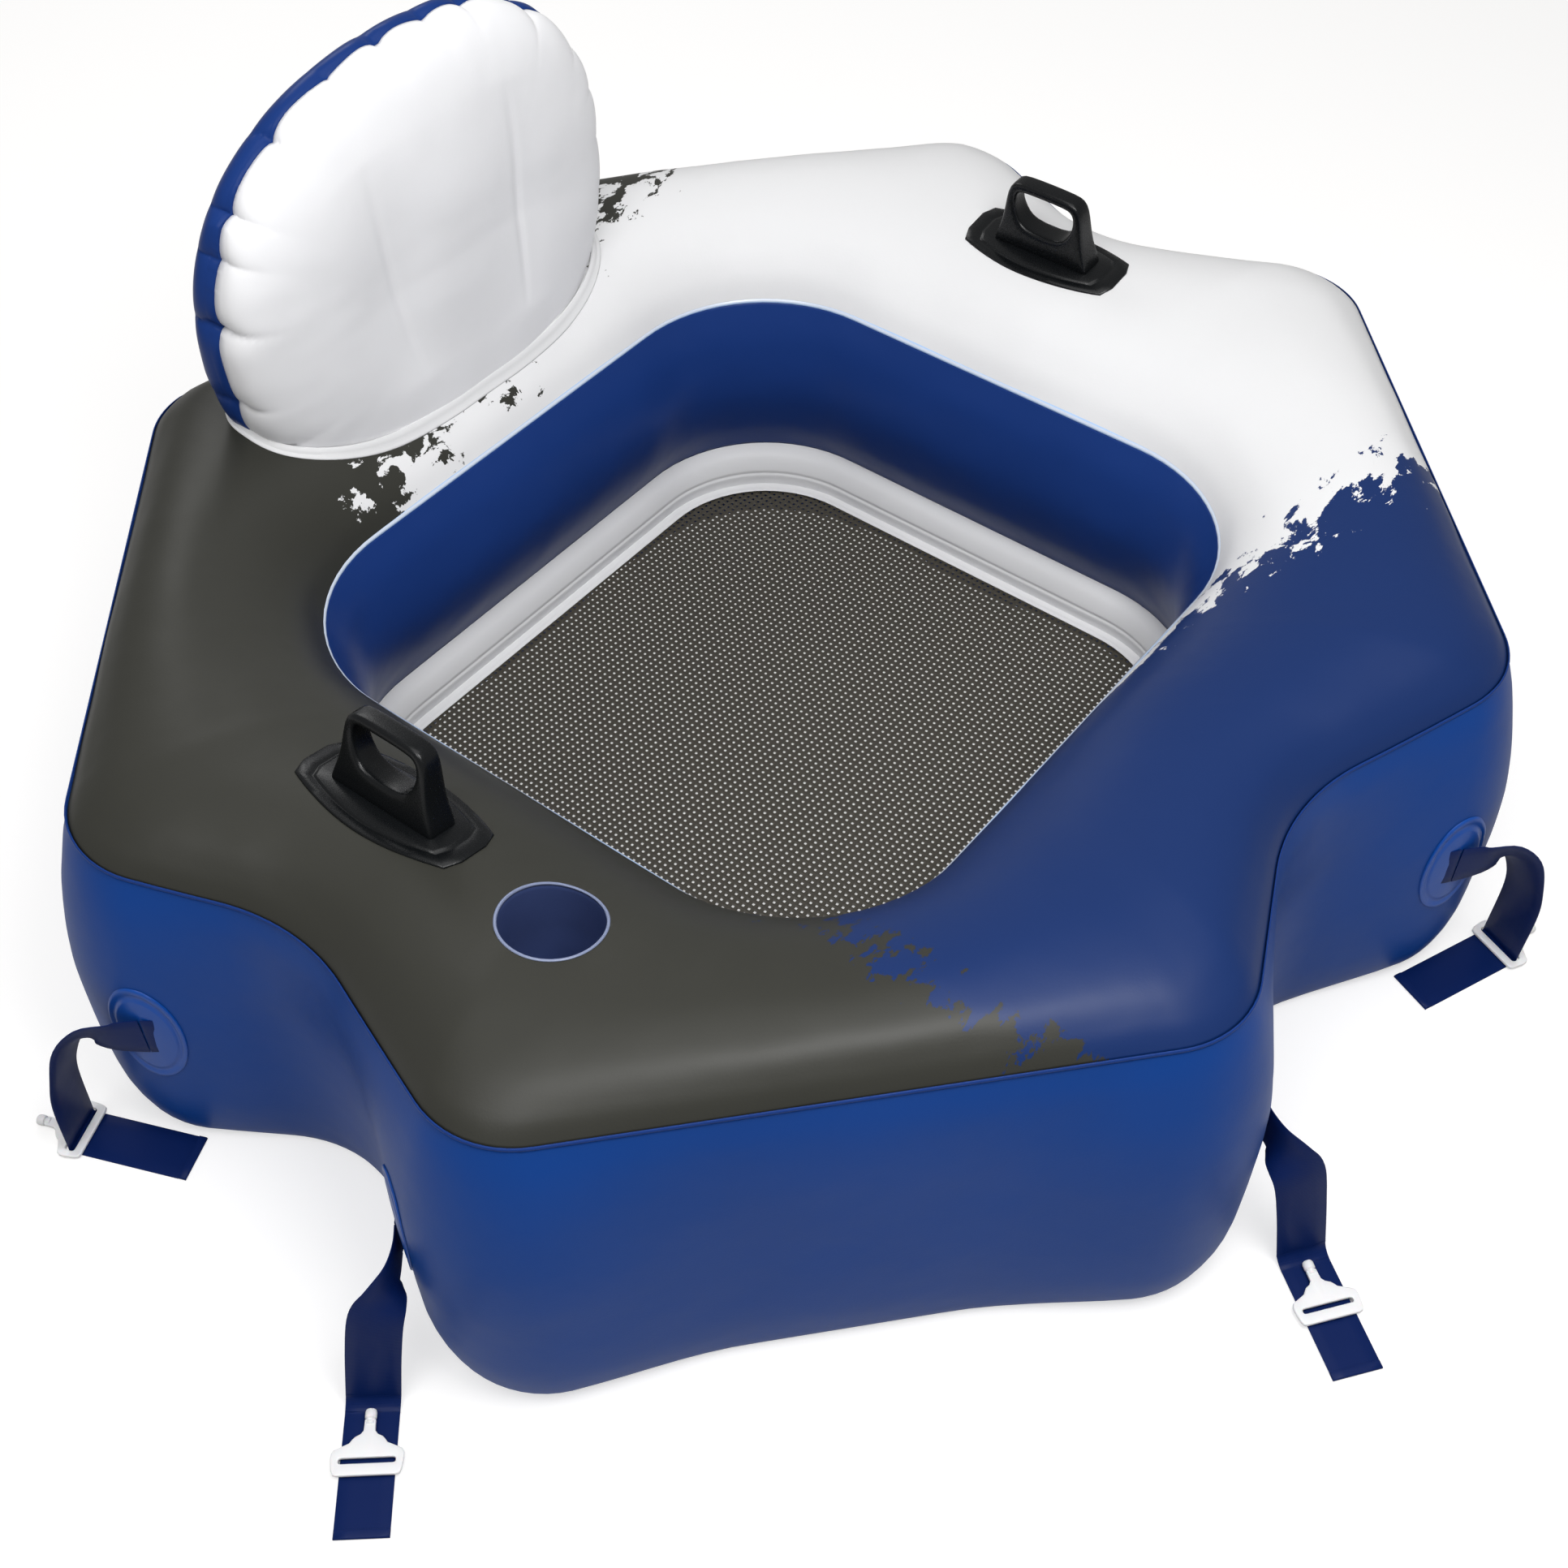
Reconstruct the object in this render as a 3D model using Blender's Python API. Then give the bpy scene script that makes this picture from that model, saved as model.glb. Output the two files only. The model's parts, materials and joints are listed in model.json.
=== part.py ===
"""Inflatable pool lounger, built as its separate vinyl panels, fittings, straps and buckles.

Lengths are in metres. The floor is z = 0, the sitter faces -Y and the backrest stands at +Y.
The sitter's right side is -X, where the cup recess is.
"""
import math

import bpy
import bmesh
from mathutils import Matrix, Vector
from mathutils.bvhtree import BVHTree

# Moves the lounger so that its outer box is centred on the origin
STAND_Y = 0.0163

# Fits and sheet thicknesses
FIT_GAP = 0.0003
VINYL = 0.0006
WELD_PAD = 0.0022
OVERRUN = 0.02

# How far off a search ray for a surface starts
CAST_REACH = 1.0

# Seat opening in the top sheet
OPENING_HALF_X = 0.344
OPENING_HALF_Y = 0.320
OPENING_RADIUS = 0.15

# Widths of the tube at its waists, and how far its corners stand out past them
SIDE_WIDTH = 0.218
FRONT_WIDTH = 0.188
BACK_WIDTH = 0.212
SIDE_CORNER_FRONT_OUT = 0.0866
SIDE_CORNER_BACK_OUT = 0.0781
FRONT_CORNER_OUT = 0.0947
BACK_CORNER_OUT = 0.0376

# Corners of the tube's plan at its top outer seam, before they are rounded
SIDE_WAIST_X = OPENING_HALF_X + SIDE_WIDTH
SIDE_WAIST_Y = 0.022
SIDE_CORNER_FRONT_X = SIDE_WAIST_X + SIDE_CORNER_FRONT_OUT
SIDE_CORNER_FRONT_Y = -0.2184
SIDE_CORNER_BACK_X = SIDE_WAIST_X + SIDE_CORNER_BACK_OUT
SIDE_CORNER_BACK_Y = 0.2095
FRONT_WAIST_Y = -(OPENING_HALF_Y + FRONT_WIDTH)
FRONT_CORNER_X = 0.2272
FRONT_CORNER_Y = FRONT_WAIST_Y - FRONT_CORNER_OUT
BACK_WAIST_Y = OPENING_HALF_Y + BACK_WIDTH
BACK_CORNER_X = 0.2188
BACK_CORNER_Y = BACK_WAIST_Y + BACK_CORNER_OUT
WAIST_RADIUS = 0.18
CORNER_RADIUS = 0.083
WAIST_STEPS = 3
CORNER_STEPS = 3
FLAT_STEPS = 5

# Heights of the seams and swell of the panels between them
TOP_SEAM_Z = 0.347
WAIST_DROP = 0.013
WAIST_DROP_SPAN = 0.20
INNER_SEAM_Z = 0.301
CROWN_RISE = 0.052
WALL_BULGE = 0.013
CORNER_SPREAD = 0.022
WAIST_TUCK = 0.010
SPREAD_REACH = 0.20
INNER_BULGE = 0.026
RING_TOP_Z = 0.115
RING_IN = 0.018
RING_SWELL = 0.008
BOTTOM_SEAM_Z = 0.004
BOTTOM_FLAT_IN = 0.028
BOTTOM_INNER_RISE = 0.020
SEAM_STEP = 0.0010

# Rows of the panels: share of the way across or up, share of the swell and, for the outer wall,
# share of the corners' spread
TOP_ROW_SHARES = ((1.0, 0.0), (0.94, 0.34), (0.82, 0.74), (0.62, 1.0), (0.38, 1.0), (0.20, 0.80),
                  (0.07, 0.42), (0.0, 0.0))
WALL_ROW_SHARES = ((0.0, -0.1, 0.72), (0.05, 0.38, 0.88), (0.16, 0.82, 1.0), (0.31, 1.0, 1.0),
                   (0.56, 1.0, 1.0), (0.75, 0.95, 0.62), (0.90, 0.62, 0.22), (1.0, 0.0, 0.0))
INNER_ROW_SHARES = ((1.0, 0.0), (0.78, 0.66), (0.5, 1.0), (0.22, 0.66), (0.0, 0.0))
RING_ROW_SHARES = ((0.0, 0.0), (0.30, 0.95), (0.68, 0.95), (1.0, 0.0))
BOTTOM_INNER_SHARE = 0.42
BOTTOM_RISE_SHARE = 0.10

# Seat mesh and its welded hem
HEM_Z = 0.072
HEM_THICKNESS = 0.0012
HEM_INNER_IN = 0.030
MESH_EDGE_IN = 0.022
MESH_THICKNESS = 0.0012
MESH_GAPS_X = 11
MESH_GAPS_Y = 10
MESH_BAR = 0.007
MESH_BORDER = 0.012

# Cup recess
CUP_FROM_OPENING = 0.122
CUP_X = -(OPENING_HALF_X + CUP_FROM_OPENING)
CUP_Y = -0.149
CUP_RADIUS = 0.0405
CUP_DEPTH = 0.105
CUP_WALL = 0.0010
CUP_RIM_WIDTH = 0.0035
CUP_RIM_HEIGHT = 0.0015
CUP_SIDES = 24

# Carry handles
HANDLE_FROM_OPENING = 0.119
HANDLE_X = OPENING_HALF_X + HANDLE_FROM_OPENING
HANDLE_SHIFT_X = 0.010
HANDLE_Y = 0.027
PAD_HALF_LENGTH = 0.0875
PAD_HALF_WIDTH = 0.041
PAD_END_HALF_WIDTH = 0.024
PAD_STEPS = 6
GRIP_HEIGHT = 0.072
GRIP_BASE_HALF = 0.055
GRIP_TOP_HALF = 0.043
GRIP_BASE_THICKNESS = 0.028
GRIP_TOP_THICKNESS = 0.018
GRIP_BAR = 0.013
GRIP_SADDLE = 0.021
GRIP_POST = 0.011
GRIP_EDGE = 0.003

# Outlines of a grip and of its opening: shares of the half length and of the height
GRIP_OUTER_SHARES = ((-1.0, -0.12), (-0.90, 0.16), (-0.80, 0.45), (-0.74, 0.80), (-0.62, 0.96),
                     (-0.40, 1.0), (0.40, 1.0), (0.62, 0.96), (0.74, 0.80), (0.80, 0.45),
                     (0.90, 0.16), (1.0, -0.12), (0.0, -0.12))
GRIP_INNER_SHARES = ((-0.55, 0.10), (-0.88, 0.34), (-1.0, 0.62), (-1.0, 0.88), (-0.90, 1.0),
                     (-0.45, 1.0), (0.45, 1.0), (0.90, 1.0), (1.0, 0.88), (1.0, 0.62),
                     (0.88, 0.34), (0.55, 0.10), (0.0, 0.0))

# Backrest
BACK_FROM_OPENING = 0.035
BACK_LEAN = math.radians(-3.0)
BASE_FRONT_DEPTH = 0.085
BACK_MID_Y = OPENING_HALF_Y + BACK_FROM_OPENING + BASE_FRONT_DEPTH
BASE_REAR_DEPTH = 0.074
BACK_FRONT_DEPTH = 0.074
BACK_REAR_DEPTH = 0.072
BACK_ROUNDNESS = 2.6
BACK_HALF_WIDTH = 0.232
BACK_WIDEST_Z = 0.470
BACK_TOP_Z = 0.680
BACK_FOOT_Z = 0.325
BACK_FOOT_RADIUS = 0.200
SEAM_ROUNDNESS = 2.35
BACK_SHOULDER_ANGLE = math.radians(32.0)
BAND_SWELL = 0.010
BAND_REACH_SHARE = 0.5
CHANNEL_DEPTH = 0.010
CHANNEL_SHARE = 0.30
CHANNEL_LOW_SHARE = 0.22
CHANNEL_HIGH_SHARE = 0.80
CHANNEL_END_SHARE = 0.15
SLOPE_REACH_SHARE = 0.05
PUCKER = 0.0022
SEAM_HALF_GAP = 0.00045
RIB_THICKNESS = 0.0008
LIP_WIDTH = 0.009
LIP_INSIDE = 0.004
LIP_THICKNESS = 0.0025
LIP_HEIGHT_SHARE = 0.22
COLUMN_SHARES = (0.0, 0.14, 0.24, 0.30, 0.36, 0.50, 0.64, 0.77, 0.88, 0.96, 1.0)
ROW_SHARES = (0.0, 0.12, 0.22, 0.36, 0.50, 0.65, 0.80, 0.92, 0.98, 1.0)

# Strap patches on the concave walls
PATCH_HALF_WIDTH = 0.033
PATCH_HALF_HEIGHT = 0.058
PATCH_Z = 0.170
PATCH_THICKNESS = 0.0018
PATCH_SIDES = 16
HANG_PATCH_DISTANCE = 0.085
BOW_PATCH_DISTANCE = 0.048

# Straps
STRAP_WIDTH = 0.044
STRAP_THICKNESS = 0.0012
STRAP_HEM_THICKNESS = 0.0032
HEM_LENGTH = 0.008
HEM_STEP = 0.0012
BEND_STEPS = 4
HANG_REACH = 0.086
HANG_ALONG = 0.082
HANG_ROOT_Z = 0.140
HANG_TAIL = 0.107
HANG_TAIL_ANGLE = math.radians(60.0)
HANG_BUCKLE_RUN = 0.047
BOW_REACH = 0.022
BOW_ALONG = 0.096
BOW_ROOT_Z = 0.172
BOW_TAIL = 0.105

# Rows of a strap's middle line: shares of its reach from the wall, of its run along the wall and of
# its root's height, then the share of a quarter turn by which its width has left the upright
HANG_ROW_SHARES = ((0.0, 0.0, 1.0, 0.0), (0.09, 0.16, 1.0, 0.0), (0.20, 0.30, 0.99, 0.05),
                   (0.34, 0.40, 0.93, 0.28), (0.48, 0.45, 0.80, 0.70), (0.59, 0.47, 0.50, 1.0),
                   (0.70, 0.50, 0.12, 1.0))
BOW_ROW_SHARES = ((0.0, 0.0, 1.0, 0.0), (0.30, 0.24, 1.0, 0.0), (0.62, 0.44, 1.03, 0.25),
                  (0.90, 0.60, 0.97, 0.60), (1.0, 0.74, 0.78, 0.90), (0.90, 0.86, 0.54, 1.0),
                  (0.45, 1.0, 0.09, 1.0))

# Buckles
BUCKLE_HALF_WIDTH = 0.029
BUCKLE_DEPTH = 0.024
BUCKLE_THICKNESS = 0.0036
BOW_BUCKLE_LIFT = 0.0030
BUCKLE_SLOT_LENGTH = 0.0465
BUCKLE_SLOT_HEIGHT = 0.0090
BUCKLE_SLIT_HEIGHT = 0.0030
KEEPER_DEPTH = 0.010
KEEPER_WIDTH_SHARE = 0.862
KEEPER_BAR = 0.0012
KEEPER_CLEARANCE = 0.0005
NECK_LENGTH = 0.022
KNOB_RADIUS = 0.0046
KNOB_LENGTH = 0.010
KNOB_SIDES = 12

# Outline of a buckle from its far edge to the end of its neck: shares of its half width and of its length
BUCKLE_OUTLINE_SHARES = ((0.862, 0.0), (1.0, 0.365), (0.93, 0.457), (0.54, 0.574), (0.414, 0.665),
                         (0.248, 0.761), (0.155, 0.833), (0.155, 1.0))
KNOB_PROFILE_SHARES = ((0.0, 0.0), (0.7, 0.0), (1.0, 0.25), (1.0, 0.75), (0.7, 1.0), (0.0, 1.0))
KNOB_SUNK_SHARE = 0.2

# Valves
VALVE_FLANGE_RADIUS = 0.019
VALVE_FLANGE_THICKNESS = 0.0016
VALVE_TUBE_RADIUS = 0.0105
VALVE_BORE_RADIUS = 0.0080
VALVE_DEPTH = 0.018
VALVE_SIDES = 20
PLUG_CAP_RADIUS = 0.0125
PLUG_CAP_THICKNESS = 0.0024
PLUG_STEM_CLEARANCE = 0.0002
PLUG_STEM_LENGTH = 0.010
TUBE_VALVE_Z = 0.150
BACK_VALVE_Z = 0.47

# Colours, linear
CHARCOAL = (0.060, 0.060, 0.052)
ROYAL_BLUE = (0.012, 0.045, 0.223)
NAVY = (0.010, 0.025, 0.125)
WHITE = (0.80, 0.80, 0.80)
BLACK = (0.012, 0.013, 0.014)
DARK_WEBBING = (0.010, 0.018, 0.060)
MESH_GREY = (0.075, 0.070, 0.062)
PALE_CLEAR = (0.55, 0.62, 0.75)


STAND = Vector((0.0, STAND_Y, 0.0))


def clear_scene():
    """Remove every object of the open scene."""
    for existing in list(bpy.data.objects):
        bpy.data.objects.remove(existing, do_unlink=True)


def material(name, colour, roughness):
    """Principled material of one plain colour."""
    made = bpy.data.materials.get(name)
    if made:
        return made
    made = bpy.data.materials.new(name)
    made.use_nodes = True
    shader = made.node_tree.nodes["Principled BSDF"]
    shader.inputs["Base Color"].default_value = (*colour, 1.0)
    shader.inputs["Roughness"].default_value = roughness
    shader.inputs["Metallic"].default_value = 0.0
    made.diffuse_color = (*colour, 1.0)
    return made


def add_object(name, bm, finish, location=(0.0, 0.0, 0.0)):
    """Turn a bmesh into an object whose origin is at location."""
    location = Vector(location)
    bmesh.ops.translate(bm, verts=bm.verts, vec=-location)
    mesh = bpy.data.meshes.new(name)
    bm.to_mesh(mesh)
    bm.free()
    mesh.materials.append(finish)
    made = bpy.data.objects.new(name, mesh)
    made.location = location + STAND
    bpy.context.collection.objects.link(made)
    return made


def add_cutter(name, bm):
    """Object that only cuts others."""
    bmesh.ops.recalc_face_normals(bm, faces=bm.faces)
    mesh = bpy.data.meshes.new(name)
    bm.to_mesh(mesh)
    bm.free()
    made = bpy.data.objects.new(name, mesh)
    made.location = STAND
    made.hide_render = True
    made.display_type = "WIRE"
    bpy.context.collection.objects.link(made)
    return made


def boolean(target, cutter, operation):
    """Cut or trim target by cutter."""
    step = target.modifiers.new(cutter.name, "BOOLEAN")
    step.object = cutter
    step.operation = operation
    step.solver = "EXACT"


def smooth(target, angle=math.radians(35.0)):
    """Shade a round piece smooth, with sharp edges kept."""
    target.data.shade_smooth()
    target.data.set_sharp_from_angle(angle=angle)


def mix(start, end, share):
    """Value or vector at a share of the way from start to end."""
    return start + (end - start) * share


# Plan of the tube


def fillet(before, corner, after, radius, steps):
    """Points of the arc that rounds a corner, each with its outward direction."""
    to_before = (before - corner).normalized()
    to_after = (after - corner).normalized()
    half = to_before.angle(to_after) / 2.0
    reach = radius / math.tan(half)
    first = corner + to_before * reach
    last = corner + to_after * reach
    centre = corner + (to_before + to_after).normalized() * radius / math.sin(half)
    turning = (corner - before).cross(after - corner)
    side = 1.0 if turning > 0 else -1.0
    start = math.atan2(first.y - centre.y, first.x - centre.x)
    finish = math.atan2(last.y - centre.y, last.x - centre.x)
    sweep = (finish - start + math.pi) % (2.0 * math.pi) - math.pi
    points = []
    for step in range(steps + 1):
        angle = start + sweep * step / steps
        ray = Vector((math.cos(angle), math.sin(angle)))
        points.append((centre + ray * radius, ray * side))
    return points


def plan_corners():
    """Corners of the tube's plan, anticlockwise from the front waist, with how each is rounded."""
    waist = (WAIST_RADIUS, WAIST_STEPS, 1)
    before_flat = (CORNER_RADIUS, CORNER_STEPS, FLAT_STEPS)
    after_flat = (CORNER_RADIUS, CORNER_STEPS, 1)
    return (
        (Vector((0.0, FRONT_WAIST_Y)), *waist),
        (Vector((FRONT_CORNER_X, FRONT_CORNER_Y)), *before_flat),
        (Vector((SIDE_CORNER_FRONT_X, SIDE_CORNER_FRONT_Y)), *after_flat),
        (Vector((SIDE_WAIST_X, SIDE_WAIST_Y)), *waist),
        (Vector((SIDE_CORNER_BACK_X, SIDE_CORNER_BACK_Y)), *before_flat),
        (Vector((BACK_CORNER_X, BACK_CORNER_Y)), *after_flat),
        (Vector((0.0, BACK_WAIST_Y)), *waist),
        (Vector((-BACK_CORNER_X, BACK_CORNER_Y)), *before_flat),
        (Vector((-SIDE_CORNER_BACK_X, SIDE_CORNER_BACK_Y)), *after_flat),
        (Vector((-SIDE_WAIST_X, SIDE_WAIST_Y)), *waist),
        (Vector((-SIDE_CORNER_FRONT_X, SIDE_CORNER_FRONT_Y)), *before_flat),
        (Vector((-FRONT_CORNER_X, FRONT_CORNER_Y)), *after_flat),
    )


def outer_stations():
    """Points and outward directions round the top outer seam."""
    corners = plan_corners()
    count = len(corners)
    arcs = []
    for index, (corner, radius, steps, _) in enumerate(corners):
        before = corners[index - 1][0]
        after = corners[(index + 1) % count][0]
        arcs.append(fillet(before, corner, after, radius, steps))
    stations = []
    for index, arc in enumerate(arcs):
        stations.extend(arc)
        edge_steps = corners[index][3]
        start, direction = arc[-1]
        end = arcs[(index + 1) % count][0][0]
        for step in range(1, edge_steps):
            stations.append((mix(start, end, step / edge_steps), direction))
    return stations


def opening_station(direction):
    """Point of the seat opening's edge along a direction from the middle, with its outward direction."""
    ray = direction.normalized()
    corner_x = OPENING_HALF_X - OPENING_RADIUS
    corner_y = OPENING_HALF_Y - OPENING_RADIUS
    on_side = ray * (OPENING_HALF_X / max(abs(ray.x), VINYL))
    if abs(on_side.y) <= corner_y:
        return on_side, Vector((math.copysign(1.0, ray.x), 0.0))
    on_end = ray * (OPENING_HALF_Y / max(abs(ray.y), VINYL))
    if abs(on_end.x) <= corner_x:
        return on_end, Vector((0.0, math.copysign(1.0, ray.y)))
    centre = Vector((math.copysign(corner_x, ray.x), math.copysign(corner_y, ray.y)))
    along = ray.dot(centre)
    reach = along + math.sqrt(along * along - centre.length_squared + OPENING_RADIUS ** 2)
    point = ray * reach
    return point, (point - centre).normalized()


def seam_height(point):
    """Height of the top outer seam, which dips at the four waists."""
    lateral = min(abs(point.y - SIDE_WAIST_Y), abs(point.x))
    dip = max(0.0, 1.0 - (lateral / WAIST_DROP_SPAN) ** 2)
    return TOP_SEAM_Z - WAIST_DROP * dip


OUTER = outer_stations()
INNER = [opening_station(point) for point, _ in OUTER]


def raised(plan_point, height):
    """Plan point at a height."""
    return Vector((plan_point.x, plan_point.y, height))


def top_rings():
    """Rings of the top sheet's upper face, from the outer seam to the seat opening."""
    rings = []
    for across, rise in TOP_ROW_SHARES:
        ring = []
        for (outer, _), (inner, _) in zip(OUTER, INNER):
            height = mix(INNER_SEAM_Z, seam_height(outer), across) + CROWN_RISE * rise
            ring.append(raised(mix(inner, outer, across), height))
        rings.append(ring)
    return rings


def nearness(point, corners):
    """How near a plan point is to the nearest of some corners, from 0 to 1."""
    distance = min((point - corner).length for corner in corners)
    return max(0.0, 1.0 - (distance / SPREAD_REACH) ** 2) ** 2


def wall_reach(point, swell, spread):
    """How far the outer wall stands out from the top outer seam at one row."""
    corners = [corner[0] for corner in plan_corners()]
    waists = corners[0::3]
    bulging = [corner for corner in corners if corner not in waists]
    lean = CORNER_SPREAD * nearness(point, bulging) - WAIST_TUCK * nearness(point, waists)
    return WALL_BULGE * swell + lean * spread


def wall_rings():
    """Rings of the outer wall's outer face, from the bottom seam up to the top one."""
    rings = []
    for up, swell, spread in WALL_ROW_SHARES:
        ring = []
        for outer, direction in OUTER:
            top = seam_height(outer) - SEAM_STEP
            reach = wall_reach(outer, swell, spread)
            ring.append(raised(outer + direction * reach, mix(BOTTOM_SEAM_Z, top, up)))
        rings.append(ring)
    return rings


def inner_wall_rings():
    """Rings of the well's wall, from the opening's edge down to the seat ring."""
    rings = []
    for up, swell in INNER_ROW_SHARES:
        height = mix(RING_TOP_Z + FIT_GAP, INNER_SEAM_Z - SEAM_STEP, up)
        rings.append([raised(inner - direction * INNER_BULGE * swell, height) for inner, direction in INNER])
    return rings


def seat_ring_rings():
    """Rings of the seat ring's upper face, from the well's wall in and down to the mesh hem."""
    slope = Vector((RING_IN, HEM_Z - RING_TOP_Z))
    outward = Vector((-slope.y, slope.x)).normalized()
    rings = []
    for across, swell in RING_ROW_SHARES:
        place = slope * across + outward * RING_SWELL * swell
        height = RING_TOP_Z + place.y
        rings.append([raised(inner - direction * place.x, height) for inner, direction in INNER])
    return rings


def bottom_rings():
    """Rings of the bottom sheet's under face, from the seat ring out to the wall."""
    inner_in = RING_IN - SEAM_STEP
    _, seam_swell, seam_spread = WALL_ROW_SHARES[0]
    rows = []
    for (outer, outer_direction), (inner, inner_direction) in zip(OUTER, INNER):
        inner_edge = inner - inner_direction * inner_in
        seam = outer + outer_direction * (wall_reach(outer, seam_swell, seam_spread) - SEAM_STEP)
        flat_edge = seam - outer_direction * BOTTOM_FLAT_IN
        rows.append((
            raised(inner_edge, HEM_Z - HEM_THICKNESS - SEAM_STEP),
            raised(mix(inner_edge, flat_edge, BOTTOM_RISE_SHARE), BOTTOM_INNER_RISE),
            raised(mix(inner_edge, flat_edge, BOTTOM_INNER_SHARE), 0.0),
            raised(flat_edge, 0.0),
            raised(seam, BOTTOM_SEAM_Z - SEAM_STEP),
        ))
    return [list(ring) for ring in zip(*rows)]


# Skins


def loft(rings, closed=False):
    """Bmesh of quads between neighbouring rings of points."""
    bm = bmesh.new()
    loops = [[bm.verts.new(point) for point in ring] for ring in rings]
    pairs = list(zip(loops, loops[1:]))
    if closed:
        pairs.append((loops[-1], loops[0]))
    for lower, upper in pairs:
        for index, vert in enumerate(lower):
            following = (index + 1) % len(lower)
            bm.faces.new((vert, lower[following], upper[following], upper[index]))
    bm.normal_update()
    return bm


def move_out(bm, distance):
    """Move a skin along its normals so that every face shifts by distance."""
    shifts = [(vert, vert.normal * vert.calc_shell_factor() * distance) for vert in bm.verts]
    for vert, shift in shifts:
        vert.co += shift
    bm.normal_update()


def skin(name, bm, thickness, finish, location=(0.0, 0.0, 0.0)):
    """Sheet of a given thickness whose outer face is the bmesh."""
    made = add_object(name, bm, finish, location)
    solid = made.modifiers.new("thickness", "SOLIDIFY")
    solid.thickness = thickness
    solid.offset = -1.0
    solid.use_even_offset = True
    smooth(made)
    return made


def top_face(height):
    """Upper face of the top sheet in triangles, moved out by a height."""
    bm = loft(top_rings())
    bmesh.ops.triangulate(bm, faces=bm.faces)
    bm.normal_update()
    move_out(bm, height)
    return bm


def pad_on_top(name, thickness, finish):
    """Sheet that lies on the whole top sheet, for a patch to be cut from."""
    bm = top_face(FIT_GAP + thickness)
    return skin(name, bm, thickness, finish)


def top_region(name, clearance, far_z):
    """Space between the top sheet's upper face, moved out by clearance, and a level."""
    bm = top_face(clearance)
    edges = [edge for edge in bm.edges if edge.is_boundary]
    grown = bmesh.ops.extrude_edge_only(bm, edges=edges)
    for item in grown["geom"]:
        if isinstance(item, bmesh.types.BMVert):
            item.co.z = far_z
    lowered = [item for item in grown["geom"] if isinstance(item, bmesh.types.BMEdge) and item.is_boundary]
    bmesh.ops.bridge_loops(bm, edges=lowered)
    return add_cutter(name, bm)


def prism(outline, low, high):
    """Upright solid over a plan outline."""
    bm = bmesh.new()
    face = bm.faces.new([bm.verts.new(raised(point, low)) for point in outline])
    grown = bmesh.ops.extrude_face_region(bm, geom=[face])
    tops = [item for item in grown["geom"] if isinstance(item, bmesh.types.BMVert)]
    bmesh.ops.translate(bm, verts=tops, vec=(0.0, 0.0, high - low))
    bmesh.ops.recalc_face_normals(bm, faces=bm.faces)
    return bm


def circle_outline(centre, radius, sides):
    """Plan outline of a circle."""
    turn = 2.0 * math.pi / sides
    return [centre + Vector((math.cos(turn * step), math.sin(turn * step))) * radius for step in range(sides)]


def wall_face(height):
    """Outer face of the outer wall in triangles, moved out by a height."""
    bm = loft(wall_rings())
    bmesh.ops.triangulate(bm, faces=bm.faces)
    bm.normal_update()
    move_out(bm, height)
    return bm


def search_tree(bm):
    """Search tree of a face that is needed no more."""
    tree = BVHTree.FromBMesh(bm)
    bm.free()
    return tree


def surface_point(plan_point):
    """Point of the top sheet's upper face over a plan point, with its normal."""
    place, normal, _, _ = SURFACE.ray_cast(raised(plan_point, CAST_REACH), Vector((0.0, 0.0, -1.0)))
    return place, normal


def wall_point(plan_point, height, outward):
    """Point of the outer wall's outer face near a plan point, with its normal."""
    start = raised(plan_point, height) + outward * CAST_REACH
    place, normal, _, _ = WALL_SURFACE.ray_cast(start, -outward)
    return place, normal


# Tube


CUP_CENTRE = Vector((CUP_X, CUP_Y))
PRISM_LOW = INNER_SEAM_Z - OVERRUN
PRISM_HIGH = TOP_SEAM_Z + CROWN_RISE + OVERRUN


def build_tube():
    """Five panels of the air tube."""
    blue = material("royal_blue_vinyl", ROYAL_BLUE, 0.32)
    navy = material("navy_vinyl", NAVY, 0.34)
    white = material("white_vinyl", WHITE, 0.38)
    top = skin("top_sheet", top_face(0.0), VINYL, material("printed_vinyl", CHARCOAL, 0.40))
    hole_radius = CUP_RADIUS + CUP_WALL + FIT_GAP
    hole = prism(circle_outline(CUP_CENTRE, hole_radius, CUP_SIDES), PRISM_LOW, PRISM_HIGH)
    boolean(top, add_cutter("cup_hole_cutter", hole), "DIFFERENCE")
    wall = skin("outer_wall", wall_face(0.0), VINYL, blue)
    skin("inner_wall", loft(inner_wall_rings()), VINYL, navy)
    skin("seat_ring", loft(seat_ring_rings()), VINYL, white)
    skin("bottom_sheet", loft(bottom_rings()), VINYL, blue)
    place, outward = tube_valve_place()
    boolean(wall, valve_cutter("tube_valve_cutter", place, outward), "DIFFERENCE")


def valve_cutter(name, place, outward):
    """Cutter for the hole in a skin that a valve's tube goes through."""
    radius = VALVE_TUBE_RADIUS + FIT_GAP
    bore = turned(((0.0, -OVERRUN), (radius, -OVERRUN), (radius, OVERRUN), (0.0, OVERRUN)), VALVE_SIDES)
    bmesh.ops.transform(bore, matrix=facing_matrix(place, outward), verts=bore.verts)
    return add_cutter(name, bore)


def offset_opening(inward):
    """Plan outline of the seat opening, drawn in by a distance."""
    return [inner - direction * inward for inner, direction in INNER]


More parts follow.
